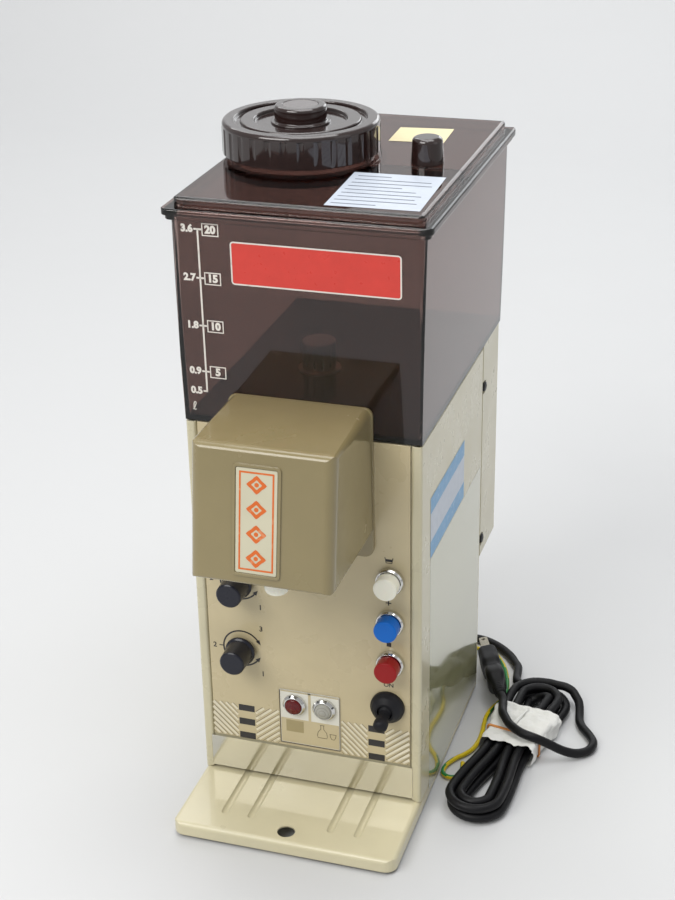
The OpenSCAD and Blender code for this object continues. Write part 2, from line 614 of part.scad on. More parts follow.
module hood() color([0.60, 0.55, 0.38]) machine() {
    difference() {
        hood_form(0);
        hood_form(hood_wall);
    }
    // raised frame round the label on the leaning front
    translate([0, -hood_low_reach, hood_low_z]) rotate([-hood_lean, 0, 0]) difference() {
        along_y(-0.8, 0.6) rect([-17, 6], [12.4, 74], [2.5, 2.5, 2.5, 2.5], 4);
        along_y(-2, -0.2) rect([-15.2, 7.8], [10.6, 72.2], [1.2, 1.2, 1.2, 1.2], 4);
    }
}

module hood_label_plate() color([0.87, 0.84, 0.74]) machine()
    translate([0, -hood_low_reach, hood_low_z]) rotate([-hood_lean, 0, 0])
        along_y(-0.5, -0.2) rect([-14.8, 8.2], [10.2, 71.8], [1, 1, 1, 1], 3);

// plate behind the hood, with the shelf that carries the nozzle
module hood_base() color([0.58, 0.53, 0.37]) machine() {
    difference() {
        union() {
            along_y(hood_back, 0) rect([-hood_hw - 0.3, 191], [hood_hw + 0.3, panel_top - 1.2], [6, 6, 0, 0], 6);
            along_y(hood_back, -0.9) rect([-hood_hw - 0.3, panel_top - 3], [hood_hw + 0.3, hood_top], [0, 0, 5, 5], 6);
        }
        rod_y(0, pipe_z, hood_back - over, over, 8);
    }
    difference() {
        along_z(214, 217) polygon(round_pts([[-22, hood_back], [-12, nozzle_y - 11], [12, nozzle_y - 11], [22, hood_back]],
            [0, 9, 9, 0], 6));
        rod_z(0, nozzle_y, 213, 218, nozzle_d / 2 - 1.9);
    }
    for (s = [-1, 1]) along_x(s * 13 - 1, s * 13 + 1)
        polygon([[hood_back, 217], [-42, 217], [-38, 219], [hood_back, 228]]);
}

module nozzle() color([0.88, 0.86, 0.78]) machine() translate([0, nozzle_y, 0]) rotate_extrude()
    polygon(round_pts([[nozzle_bore / 2, nozzle_z], [nozzle_d / 2, nozzle_z], [nozzle_d / 2, 214],
        [nozzle_d / 2 - 2, 214], [nozzle_d / 2 - 2, 224], [nozzle_bore / 2, 224]],
        [0.8, 3.2, 0, 0, 0.8, 0], 6));

// ---------- controls ----------
module button(z) machine() translate([button_x, 0, z]) rotate([90, 0, 0]) rotate_extrude()
    polygon(round_pts([[0, -16], [3.9, -16], [3.9, 4.5], [button_d / 2, 4.5], [button_d / 2, button_out - 0.4],
        [button_d / 2 - 1.6, button_out], [0, button_out]], [0, 0.6, 0, 0.3, 0.8, 1, 0], 5));

module dispense_button() color([0.87, 0.84, 0.72]) button(button_zs[0]);
module refill_button() color([0.06, 0.41, 0.74]) button(button_zs[1]);
module stop_button() color([0.63, 0.12, 0.14]) button(button_zs[2]);

// chromed rings round the buttons and the lamps
module control_bezels() color([0.75, 0.75, 0.74]) machine() {
    for (z = button_zs) button_bezel(z);
    for (s = [-1, 1]) lamp_bezel(s * lamp_x);
}

module button_bezel(z) turned_y(button_x, z)
    polygon(round_pts([[4.2, -12], [5.9, -12], [5.9, 0], [9.2, 0], [9.2, 3], [button_d / 2 + 0.9, 4.4],
        [button_d / 2 + 0.35, 4.4], [button_d / 2 + 0.35, 0.8], [4.2, 0.8]],
        [0, 0, 0, 0.6, 1, 0.2, 0, 0, 0], 4));

module button_switches() color([0.15, 0.15, 0.16]) machine() for (z = button_zs) {
    difference() {
        block([button_x - 8, 12, z - 9], [button_x + 8, 31, z + 9]);
        rod_y(button_x, z, 11, 27, 4);
    }
    for (s = [-1, 1]) block([button_x + s * 4 - 0.4, 31, z - 2.4], [button_x + s * 4 + 0.4, 38, z + 2.4]);
}

// a dial knob; its shaft runs in the control's bushing
module dial(z) machine() turned_y(-dial_x, z) union() {
    polygon(round_pts([[0, -9], [3, -9], [3, 3.2], [dial_d / 2 + 1.2, 3.2], [dial_d / 2 + 1.2, 5],
        [dial_d / 2, 6], [dial_d / 2 - 0.5, dial_out - 0.8], [dial_d / 2 - 1.4, dial_out], [0, dial_out]],
        [0, 0, 0, 0.4, 0.4, 0.4, 0.5, 0.5, 0], 3));
}

module volume_knob() color([0.14, 0.15, 0.21]) dial(dial_zs[0]);
module temperature_knob() color([0.14, 0.15, 0.21]) dial(dial_zs[1]);

module pot(z) machine() {
    turned_y(-dial_x, z) polygon([[3.05, -9.5], [8.5, -9.5], [8.5, -panel_back], [3.8, -panel_back],
        [3.8, 0], [5.5, 0], [5.5, 2.2], [3.05, 2.2]]);
    block([-dial_x - 5, 5, z - 14], [-dial_x + 5, 6, z - 8]);
}

module dial_pots() color([0.55, 0.56, 0.55]) for (z = dial_zs) pot(z);

toggle_c = [button_x - 2, -3, toggle_z];

// the rubber boot's foot; the lever's ball turns in the hollow inside it
module toggle_boot() color([0.07, 0.07, 0.07]) machine() translate(toggle_c)
    rotate([90, 0, 0]) rotate_extrude() polygon(concat(
        round_pts([[6, -3], [11.2, -3], [11.2, -0.5], [9.4, 2.6], [6.4, 5.2], [5, 5.2]], [0, 0, 1, 1.4, 0.6, 0], 5),
        [for (k = [0:10]) let (a = 35.6 - k * 6.48) 6.15 * [cos(a), sin(a)]]));

module toggle_lever() color([0.08, 0.08, 0.08]) machine() translate(toggle_c) rotate([toggle_tilt, 0, 0]) {
    sphere(r = 6);
    rotate([90, 0, 0]) rotate_extrude() polygon(round_pts([[0, 0], [4, 0], [3.5, 7], [4.7, 13], [4.7, 18.5], [0, 18.5]],
        [0, 0, 1, 2, 3.2, 0], 6));
}

module toggle_switch_body() color([0.16, 0.16, 0.17]) machine() difference() {
    union() {
        block([toggle_c[0] - 7.5, panel_back, toggle_z - 14], [toggle_c[0] + 7.5, 24, toggle_z + 14]);
        rod_y(toggle_c[0], toggle_z, 0, panel_back + 1, 5.9);
        for (s = [-1, 0, 1]) block([toggle_c[0] - 2.4, 23, toggle_z + s * 9 - 0.4], [toggle_c[0] + 2.4, 31, toggle_z + s * 9 + 0.4]);
    }
    translate(toggle_c) sphere(r = 6.3);
}

module lamp_lens(x) machine() turned_y(x, lamp_z) polygon(round_pts([[0, -4], [5, -4], [5, 2.6],
    [lamp_d / 2 - 2, 2.6], [lamp_d / 2 - 2.4, 4.6], [0, 5.8]], [0, 0, 0, 0, 1.6, 0], 5));

module power_lamp_lens() color([0.75, 0.06, 0.08]) lamp_lens(-lamp_x);
module warming_lamp_lens() color([0.72, 0.72, 0.68]) lamp_lens(lamp_x);

module lamp_bezel(x) turned_y(x, lamp_z)
    polygon(round_pts([[5.1, 0.3], [lamp_d / 2, 0.3], [lamp_d / 2, 2], [lamp_d / 2 - 1.4, 3.6], [lamp_d / 2 - 1.9, 3.6],
        [lamp_d / 2 - 1.9, 2.4], [5.1, 2.4]], [0, 0, 0.5, 0.4, 0, 0, 0], 4));

module lamp_holders() color([0.14, 0.14, 0.15]) machine() for (s = [-1, 1]) {
    turned_y(s * lamp_x, lamp_z) polygon([[0, -24], [7, -24], [7, -panel_back], [5.9, -panel_back], [5.9, 0.3],
        [5.1, 0.3], [5.1, -4.2], [0, -4.2]]);
    for (d = [-1, 1]) block([s * lamp_x + d * 3 - 0.4, 23, lamp_z - 2], [s * lamp_x + d * 3 + 0.4, 30, lamp_z + 2]);
}

module lamp_plate() color([0.90, 0.90, 0.86]) machine() difference() {
    along_y(-0.3, 0) rect([-lamp_plate_w / 2, plate_low + 2.5], [lamp_plate_w / 2, plate_low + 2.5 + lamp_plate_w], [1, 1, 1, 1], 3);
    for (s = [-1, 1]) rod_y(s * lamp_x, lamp_z, -over, over, 6.1);
}

// ---------- heating and pouring ----------
module heater_vessel() color([0.72, 0.72, 0.70]) machine() difference() {
    translate([vessel_c[0], vessel_c[1], 0]) rotate_extrude() polygon(round_pts([
        [0, vessel_low], [vessel_r, vessel_low], [vessel_r, vessel_top - 5], [vessel_r + 4, vessel_top - 5],
        [vessel_r + 4, vessel_top], [6, vessel_top], [6, vessel_top + 16], [0, vessel_top + 16]],
        [0, 4, 0, 0.5, 0.5, 0, 0.5, 0], 6));
    rod_z(vessel_c[0], vessel_c[1], vessel_top - 8, vessel_top + 17, 4);
    for (a = [22.5:45:360]) translate([vessel_c[0] + (vessel_r - 3) * cos(a), vessel_c[1] + (vessel_r - 3) * sin(a), vessel_top - 0.9])
        cylinder(h = 2, r = 3.2, $fn = 6);
}

module vessel_stand() color([0.60, 0.61, 0.60]) machine() difference() {
    union() {
        block([vessel_c[0] - 34, vessel_c[1] - 30, vessel_low - 1.5], [vessel_c[0] + 34, vessel_c[1] + 30, vessel_low]);
        for (s = [-1, 1]) {
            block([vessel_c[0] + s * 34 - 0.75, vessel_c[1] - 30, pan_top], [vessel_c[0] + s * 34 + 0.75, vessel_c[1] + 30, vessel_low]);
            block([vessel_c[0] + s * 34 - 6, vessel_c[1] - 30, pan_top], [vessel_c[0] + s * 34 + 6, vessel_c[1] + 30, pan_top + 1.5]);
        }
    }
    rod_z(vessel_c[0], vessel_c[1], vessel_low - 3, vessel_low + over, 16);
}

module heater_element() color([0.66, 0.62, 0.52]) machine() {
    rod_z(vessel_c[0], vessel_c[1], vessel_low - 8, vessel_low, 14);
    for (s = [-1, 1]) rod_z(vessel_c[0] + s * 8, vessel_c[1], vessel_low - 18, vessel_low - 8, 2.5);
}

module thermostat() color([0.82, 0.80, 0.74]) machine() {
    x = vessel_c[0] + vessel_r;
    rod_x(vessel_c[1], 130, x, x + 7, 8);
    rod_x(vessel_c[1], 130, x + 6, x + 9, 5);
    for (s = [-1, 1]) block([x + 8, vessel_c[1] + s * 3 - 0.4, 122], [x + 8.8, vessel_c[1] + s * 3 + 0.4, 138]);
}

module inlet_hose() color([0.85, 0.83, 0.78]) machine() translate([vessel_c[0], vessel_c[1], 0]) difference() {
    union() {
        rod_z(0, 0, vessel_top + 3, body_top - 17, 8);
        rod_z(0, 0, body_top - 17, body_top - 4, 11.2);
    }
    rod_z(0, 0, vessel_top, vessel_top + 16.1, 6.05);
    rod_z(0, 0, vessel_top + 16, body_top - 16, 5.5);
    rod_z(0, 0, body_top - 16, body_top, outlet_d / 2 + 2.55);
}

// a hose that rises at (0, y1), bends by radius b and runs along Y to y0
module elbow_pipe(y0, y1, z0, z1, b, r) {
    rod_z(0, y1, z0, z1 - b, r);
    translate([0, y1 - b, z1 - b]) rotate([90, 0, 90]) rotate_extrude(angle = 90) translate([b, 0]) circle(r = r);
    rod_y(0, z1, y0, y1 - b, r);
}

module outlet_hose() color([0.85, 0.83, 0.78]) machine() difference() {
    elbow_pipe(48, 72, vessel_top, pipe_z, 12, 6);
    elbow_pipe(47, 72, vessel_top - over, pipe_z, 12, 4);
}

module solenoid_valve() color([0.70, 0.60, 0.36]) machine() difference() {
    union() {
        along_z(228, 252) rect([-14, 16], [14, 42], [4, 4, 4, 4]);
        rod_y(0, pipe_z, 8, 48, 6);
        rod_z(0, 29, 196, 229, 13);
        block([-17, 20, 196], [17, 38, 226]);
    }
    rod_y(0, pipe_z, 7, 21, 4);
    rod_y(0, pipe_z, 37, 49, 4);
    rod_z(0, 29, 200, 236, 4.05);
    rod_z(0, 29, 232, 246, 9);
    rod_y(0, pipe_z, 20, 38, 4);
    for (s = [-1, 1]) block([s * 17 - 1, 20, 196], [s * 17 + 1, 21, 226]);
}

module valve_plunger() color([0.75, 0.75, 0.76]) machine() {
    rod_z(0, 29, 206, 237, 4);
    rod_z(0, 29, 237, 245, 8.9);
}

module spout_hose() color([0.85, 0.83, 0.78]) machine() translate([0, nozzle_y, 0]) difference() {
    union() {
        rod_z(0, 0, 217.5, pipe_z - 12, 7.6);
        translate([0, 12, pipe_z - 12]) rotate([90, 0, -90]) rotate_extrude(angle = 90) translate([12, 0]) circle(r = 7.6);
        rod_y(0, pipe_z, 12, 12 - nozzle_y, 7.6);
    }
    rod_z(0, 0, 217, 224.1, nozzle_d / 2 - 1.95);
    rod_z(0, 0, 217, pipe_z - 12, 4);
    translate([0, 12, pipe_z - 12]) rotate([90, 0, -90]) rotate_extrude(angle = 90) translate([12, 0]) circle(r = 4);
    rod_y(0, pipe_z, 12, 14 - nozzle_y + 2, 4);
    rod_y(0, pipe_z, 8 - nozzle_y - 0.1, 14 - nozzle_y + 2, 6.05);
}

module transformer() color([0.45, 0.38, 0.30]) machine() {
    block([32, 96, pan_top + 3], [60, 138, pan_top + 39]);
    block([26, 104, pan_top + 9], [66, 130, pan_top + 33]);
    for (s = [-1, 1]) block([34, 117 + s * 21 - 4 * (s > 0 ? 0 : 1), pan_top], [58, 117 + s * 21 + 4 * (s > 0 ? 1 : 0), pan_top + 3]);
    block([34, 96, pan_top], [58, 138, pan_top + 3]);
}

module control_board() color([0.10, 0.36, 0.22]) machine() {
    block([62, 44, 124], [63.6, 144, 226]);
    for (y = [50, 138], z = [130, 220]) rod_x(y, z, 63.6, hw - sheet, 3);
    // relays, a small transformer and two capacitors
    for (y = [58, 82], z = [138]) block([46, y, z], [62, y + 18, z + 22]);
    block([52, 112, 136], [62, 136, 160]);
    rod_x(70, 190, 40, 62, 9);
    rod_x(100, 194, 46, 62, 7);
}

module terminal_block() color([0.90, 0.88, 0.80]) machine() difference() {
    block([-30, 146, pan_top], [-4, 159, pan_top + 14]);
    for (i = [0:2]) rod_z(-25 + i * 8, 152.5, pan_top + 6, pan_top + 15, 2.6);
}

module gland(x, z, bore) turned_y(x, z)
    polygon(round_pts([[bore, -body_d - gland_out], [bore + 2, -body_d - gland_out], [bore + 4.2, -body_d - 2.5],
        [bore + 7.8, -body_d - 2.5], [bore + 7.8, -body_d + sheet], [bore + 4.8, -body_d + sheet],
        [bore + 4.8, -body_d + 2 * sheet], [bore + 6.8, -body_d + 2 * sheet], [bore + 6.8, -body_d + 7],
        [bore, -body_d + 7]], [0, 0.6, 0.8, 0.6, 0, 0, 0, 0.4, 0.4, 0], 4));

module cord_gland() color([0.08, 0.08, 0.08]) machine() {
    gland(gland_at[0], gland_at[1], cord_d / 2 + 0.05);
    gland(earth_at[0], earth_at[1], earth_d / 2 + 0.05);
}

// ---------- mains lead, earth wire and tie ----------
// smooth curve through points p, k steps between two points
function curve(p, k) = [for (i = [0:len(p) - 2], j = [0:k - 1]) let (
    a = p[max(i - 1, 0)], b = p[i], c = p[i + 1], d = p[min(i + 2, len(p) - 1)], t = j / k)
    0.5 * (2 * b + (c - a) * t + (2 * a - 5 * b + 4 * c - d) * t * t + (3 * b - a - 3 * c + d) * t * t * t),
    p[len(p) - 1]];

function tangents(p) = [for (i = [0:len(p) - 1]) unit(p[min(i + 1, len(p) - 1)] - p[max(i - 1, 0)])];
function square_to(n, t) = unit(n - t * (n * t));
// a direction square to the path, carried along it without twist
function sides_of(t) = [for (i = 0, n = square_to([0, 0, 1] + 0.01 * [1, 1, 0], t[0]); i < len(t);
    i = i + 1, n = i < len(t) ? square_to(n, t[i]) : n) n];

function route_length(p) = [for (i = 0, l = 0; i < len(p); l = i < len(p) - 1 ? l + norm(p[i + 1] - p[i]) : l, i = i + 1) l][len(p) - 1];

// one closed tube of radius r along path p
module tube(p, r, n) {
    t = tangents(p);
    s = sides_of(t);
    m = len(p);
    polyhedron(
        points = [for (i = [0:m - 1], k = [0:n - 1]) let (a = k * 360 / n)
            p[i] + r * (cos(a) * s[i] + sin(a) * cross(t[i], s[i]))],
        faces = concat(
            [for (i = [0:m - 2], k = [0:n - 1], h = [0, 1]) let (
                a = i * n + k, b = i * n + (k + 1) % n, c = a + n, d = b + n) h == 0 ? [a, c, b] : [b, c, d]],
            [for (k = [1:n - 2]) [0, k, k + 1]],
            [for (k = [1:n - 2]) [(m - 1) * n, (m - 1) * n + k + 1, (m - 1) * n + k]]));
}

// The hank is one spiral: it winds in over half its loops, climbs a layer along a
// run, and winds out again on top. u runs along the hank and v across it.
hank_half = hank_len / 2 - hank_r;
function hank_in(s) = hank_step * min(s, hank_loops - s);
function hank_v(u, w) = hank_r - w - (hank_r - hank_waist) * pow(cos(90 * u / hank_half), 2);
function hank_z(s) = let (k = (s - hank_loops / 2) / 0.25 + 0.5, c = max(0, min(1, k)))
    hank_low + hank_layer * c * c * (3 - 2 * c);
function hank_uv(s) = let (f = s - floor(s), w = hank_in(s), r = hank_r - w)
    f < 0.125 ? hank_half * [1, 0] + r * [cos(f * 720), sin(f * 720)] :
    f < 0.375 ? let (u = hank_half * (1 - (f - 0.125) * 8)) [u, hank_v(u, w)] :
    f < 0.625 ? let (a = (f - 0.375) * 720) -hank_half * [1, 0] + r * [-sin(a), cos(a)] :
    f < 0.875 ? let (u = hank_half * ((f - 0.625) * 8 - 1)) [u, -hank_v(u, w)] :
    let (a = (f - 0.875) * 720) hank_half * [1, 0] + r * [sin(a), -cos(a)];
function on_floor(uv, z) = let (c = cos(hank_turn), s = sin(hank_turn))
    [hank_c[0] + uv[1] * c - uv[0] * s, hank_c[1] + uv[0] * c + uv[1] * s, z];
hank_turns = [for (k = [0:24 * hank_loops]) let (s = k / 24) on_floor(hank_uv(s), hank_z(s))];
hank_dir = [cos(hank_turn), sin(hank_turn), 0];
hank_path = concat(
    [hank_turns[0] - 1.2 * cord_d * hank_dir], hank_turns,
    [hank_turns[len(hank_turns) - 1] + 1.2 * cord_d * hank_dir]);
// least gap between two stretches of the hank
hank_gap = min([for (i = [0:len(hank_path) - 8], j = [i + 7:len(hank_path) - 1])
    norm(hank_path[i] - hank_path[j])]) - cord_d;
echo(hank_gap = hank_gap, hank_length = route_length(hank_path));

module cord_hank() color([0.05, 0.05, 0.055]) machine() tube(hank_path, cord_d / 2, 6);

plug_dir = [-sin(plug_turn) * cos(plug_tilt), cos(plug_turn) * cos(plug_tilt), sin(plug_tilt)];
lead_path = concat(curve(lead_route, 2), let (e = hank_path[0]) [for (k = [3:-1:0])
    e - 5 * k * hank_dir + [-0.5, 0.9, 0] * pow(max(k - 1, 0), 2)]);
tail_path = let (e = hank_path[len(hank_path) - 1], q = curve(tail_route, 2)) concat(
    [e, e + 6 * hank_dir], [for (i = [0:len(q) - 1]) q[i]], [plug_at - 9 * plug_dir, plug_at - 3 * plug_dir, plug_at]);
echo(cord_length = route_length(lead_path) + route_length(hank_path) + route_length(tail_path));

module power_cord() color([0.05, 0.05, 0.055]) machine() {
    tube(lead_path, cord_d / 2, 8);
    tube(tail_path, cord_d / 2, 8);
}

module earth_wire() color([0.12, 0.42, 0.18]) machine() tube(curve(earth_route, 2), earth_d / 2, 8);

// plug: its strain relief, grip and body along +Y from the origin
module on_plug() translate(plug_at) rotate([0, 0, plug_turn]) rotate([plug_tilt, 0, 0]) rotate([0, plug_roll, 0]) children();

module plug_body() color([0.05, 0.05, 0.055]) machine() on_plug() intersection() {
    along_z(-8, 8) polygon(round_pts([[-3.6, 0], [3.6, 0], [5, 13], [10, 20], [9.6, 30], [7.4, 35], [10.3, 42],
        [10.3, 62], [-10.3, 62], [-10.3, 42], [-7.4, 35], [-9.6, 30], [-10, 20], [-5, 13]],
        [0, 0, 4, 5, 5, 2, 4, 5, 5, 4, 2, 5, 5, 4], 4));
    along_x(-12, 12) polygon(round_pts([[0, -3.6], [13, -4.6], [20, -6.8], [35, -6.6], [42, -7.2], [63, -7.2],
        [63, 7.2], [42, 7.2], [35, 6.6], [20, 6.8], [13, 4.6], [0, 3.6]],
        [0, 4, 4, 4, 4, 2, 2, 4, 4, 4, 4, 0], 4));
}

module plug_blades() color([0.72, 0.66, 0.45]) machine() on_plug() for (s = [-1, 1]) difference() {
    along_x(s * 6.35 - 0.75, s * 6.35 + 0.75) rect([62, -3.15], [79.5, 3.15], [0, 1.5, 1.5, 0], 4);
    rod_x(76, 0, s * 6.35 - 2, s * 6.35 + 2, 1.5);
}

// the folded paper round the hank's runs, and the band that holds it
wrap_low = 0.8;
wrap_top = hank_top + 0.5;
function wrap_half(u) = hank_waist + cord_d / 2 + 0.4 + 5.2 * pow(sin(90 * max(u, 0) / hank_half), 2);
function wrap_plan(u0, u1, g) = concat(
    [for (k = [0:6]) let (u = u0 + (u1 - u0) * k / 6) [wrap_half(u) + g, u]],
    [for (k = [6:-1:0]) let (u = u0 + (u1 - u0) * k / 6) [-wrap_half(u) - g, u]]);
module on_hank() translate([hank_c[0], hank_c[1], 0]) rotate([0, 0, hank_turn]) children();

module paper_wrap() color([0.90, 0.90, 0.88]) machine() on_hank() difference() {
    along_z(wrap_low, wrap_top) polygon(wrap_plan(-6, 40, 0.4));
    along_z(wrap_low + 0.4, wrap_top - 0.4) polygon(wrap_plan(-8, 42, 0));
}

module rubber_band() color([0.82, 0.52, 0.26]) machine() on_hank() translate([0, 9, 0]) rotate([0, 0, -3]) difference() {
    h = wrap_half(12) + 0.6;
    along_y(-1, 1) rect([-h - 0.8, 0.05], [h + 0.8, wrap_top + 0.8], [1.2, 1.2, 1.2, 1.2], 4);
    along_y(-2, 2) rect([-h, wrap_low - 0.05], [h, wrap_top + 0.05], [0.4, 0.4, 0.4, 0.4], 3);
}

// ---------- assembly ----------
base_pan();
rubber_feet();
left_side_panel();
right_side_panel();
front_panel();
control_plate();
back_panel();
tank_deck();
rear_cover();
casing_screws();
tank();
tank_gasket();
tank_strainer();
front_lid();
fill_neck();
rear_lid();
rear_lid_knob();
cap_seal();
fill_cap();
cap_knob();
cap_disc();
hood();
hood_label_plate();
hood_base();
nozzle();
dispense_button();
refill_button();
stop_button();
control_bezels();
button_switches();
volume_knob();
temperature_knob();
dial_pots();
toggle_boot();
toggle_lever();
toggle_switch_body();
power_lamp_lens();
warming_lamp_lens();
lamp_holders();
lamp_plate();
heater_vessel();
vessel_stand();
heater_element();
thermostat();
inlet_hose();
outlet_hose();
solenoid_valve();
valve_plunger();
spout_hose();
transformer();
control_board();
terminal_block();
cord_gland();
power_cord();
cord_hank();
plug_body();
plug_blades();
earth_wire();
paper_wrap();
rubber_band();
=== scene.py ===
"""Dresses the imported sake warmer: camera, cords, materials, prints and finer pieces.

Sizes are metres in the row frame. Most places are written as mm(x, y, z): millimetres across
from the machine's middle, to the rear from the control plate's front, and up from the table.
"""
import math

import bmesh
import bpy
from mathutils import Matrix, Vector
from mathutils.bvhtree import BVHTree


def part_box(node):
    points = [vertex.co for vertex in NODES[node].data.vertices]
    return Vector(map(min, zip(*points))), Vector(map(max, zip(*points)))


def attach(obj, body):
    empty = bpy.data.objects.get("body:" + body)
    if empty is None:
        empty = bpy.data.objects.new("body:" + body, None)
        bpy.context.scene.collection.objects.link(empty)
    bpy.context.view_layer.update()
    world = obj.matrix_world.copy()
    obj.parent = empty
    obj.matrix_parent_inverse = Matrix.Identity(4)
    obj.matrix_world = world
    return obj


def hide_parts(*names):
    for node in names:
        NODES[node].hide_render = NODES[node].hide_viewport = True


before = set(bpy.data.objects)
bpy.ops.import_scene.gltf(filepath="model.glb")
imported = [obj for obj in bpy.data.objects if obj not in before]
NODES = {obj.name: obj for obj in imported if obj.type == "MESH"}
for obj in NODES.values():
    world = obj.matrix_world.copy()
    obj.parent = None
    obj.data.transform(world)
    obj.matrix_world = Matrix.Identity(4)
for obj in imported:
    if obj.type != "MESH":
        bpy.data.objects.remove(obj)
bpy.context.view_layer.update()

BODY = "machine"
FRONT_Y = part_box("control_plate")[0].y


def mm(x, y, z):
    """A place given in mm, in the frame's metres."""
    return Vector((x / 1000, FRONT_Y + y / 1000, z / 1000))


def srgb(r, g, b):
    """Linear colour of an 8-bit sRGB one."""
    def linear(c):
        return c / 12.92 if c <= 0.04045 else ((c + 0.055) / 1.055) ** 2.4
    return (linear(r / 255), linear(g / 255), linear(b / 255), 1.0)


def link(obj):
    """Puts a new object in the scene."""
    bpy.context.scene.collection.objects.link(obj)
    return obj


def mesh_object(name, verts, faces, smooth=True):
    """A new piece from its points and faces."""
    mesh = bpy.data.meshes.new(name)
    mesh.from_pydata([tuple(v) for v in verts], [], faces)
    mesh.validate()
    if smooth:
        mesh.shade_smooth()
    return link(bpy.data.objects.new(name, mesh))


def turn_outward(obj):
    """Makes the faces of a closed mesh look out of it."""
    bm = bmesh.new()
    bm.from_mesh(obj.data)
    bmesh.ops.recalc_face_normals(bm, faces=bm.faces)
    bm.to_mesh(obj.data)
    bm.free()
    return obj


# ---------------------------------------------------------------- camera, stage and light
CAMERA_AT = (304.84, -876.80, 699.63)
CAMERA_YAW, CAMERA_PITCH, CAMERA_ROLL = -0.3116, -0.4453, -0.0194        # radians
CAMERA_SENSOR, CAMERA_LENS = 36, 68.02          # mm, the sensor along the picture's height


def add_camera():
    """The photograph's camera, as it was solved from the machine's edges."""
    data = bpy.data.cameras.new("camera")
    data.sensor_fit = "VERTICAL"
    data.sensor_height = CAMERA_SENSOR
    data.sensor_width = CAMERA_SENSOR
    data.lens = CAMERA_LENS
    data.clip_start = 0.05
    camera = link(bpy.data.objects.new("camera", data))
    yaw, pitch, roll = CAMERA_YAW, CAMERA_PITCH, CAMERA_ROLL
    forward = Vector((math.sin(yaw) * math.cos(pitch), math.cos(yaw) * math.cos(pitch), math.sin(pitch)))
    level = Vector((math.cos(yaw), -math.sin(yaw), 0))
    rise = level.cross(forward)
    right = math.cos(roll) * level + math.sin(roll) * rise
    up = -math.sin(roll) * level + math.cos(roll) * rise
    turn = Matrix((right, up, -forward)).transposed().to_4x4()
    camera.matrix_world = Matrix.Translation(mm(*CAMERA_AT)) @ turn
    bpy.context.scene.camera = camera


def add_stage():
    """A pale floor that curves up into a backdrop behind the object."""
    front, bend_y, bend_r, top, half = -2.2, 1.5, 0.9, 3.4, 3.5
    bend = [math.radians(9 * i) for i in range(11)]
    profile = [(front, 0.0)]
    profile += [(bend_y + bend_r * math.sin(a), bend_r - bend_r * math.cos(a)) for a in bend]
    profile.append((bend_y + bend_r, top))
    verts, faces = [], []
    for y, z in profile:
        verts += [(-half, y, z), (half, y, z)]
    for i in range(len(profile) - 1):
        faces.append((2 * i, 2 * i + 1, 2 * i + 3, 2 * i + 2))
    floor = mesh_object("floor", verts, faces)
    m = Mat("floor_paper", srgb(206, 207, 208), 0.55)
    m.roughness(9, 0.5, 0.62)
    dress(floor, m.done())
    floor.location.z = -0.0004


def add_light(name, at, look, size, power, color=(1, 1, 1)):
    """A rectangular softbox at one place that looks at another."""
    data = bpy.data.lights.new(name, "AREA")
    data.shape = "RECTANGLE"
    data.size, data.size_y = size
    data.energy = power
    data.color = color
    obj = link(bpy.data.objects.new(name, data))
    at, look = Vector(at), Vector(look)
    obj.matrix_world = Matrix.Translation(at) @ (look - at).to_track_quat("-Z", "Y").to_matrix().to_4x4()


WORLD_LIGHT, WORLD_SEEN = 0.45, 0.35        # strength on things, and what the camera sees on top of it


def add_lights():
    """Softboxes at the left, above, at the right and behind, a wash on the backdrop and a pale world."""
    add_light("key_softbox", (-0.75, -1.45, 1.6), (0, 0, 0.2), (1.4, 1.0), 27, (1.0, 0.985, 0.96))
    add_light("top_softbox", (0.1, 0.1, 1.9), (0, 0, 0.1), (1.4, 1.2), 19)
    add_light("right_fill", (1.7, -0.3, 0.9), (0, 0, 0.2), (0.9, 1.2), 1.2, (0.97, 0.985, 1.0))
    add_light("back_window", (0.25, 2.0, 1.0), (0, 0, 0.4), (1.0, 0.7), 4.5, (0.96, 0.98, 1.0))
    add_light("backdrop_wash", (-1.0, 1.7, 1.9), (-0.9, 1.9, 0), (1.9, 1.0), 16)
    world = bpy.data.worlds.new("studio")
    bpy.context.scene.world = world
    world.use_nodes = True
    tree = world.node_tree
    background = tree.nodes["Background"]
    background.inputs["Color"].default_value = (1, 1, 1, 1)
    path = tree.nodes.new("ShaderNodeLightPath")
    lift = tree.nodes.new("ShaderNodeMath")
    lift.operation = "MULTIPLY_ADD"
    lift.inputs[1].default_value = WORLD_SEEN
    lift.inputs[2].default_value = WORLD_LIGHT
    tree.links.new(path.outputs["Is Camera Ray"], lift.inputs[0])
    tree.links.new(lift.outputs[0], background.inputs["Strength"])


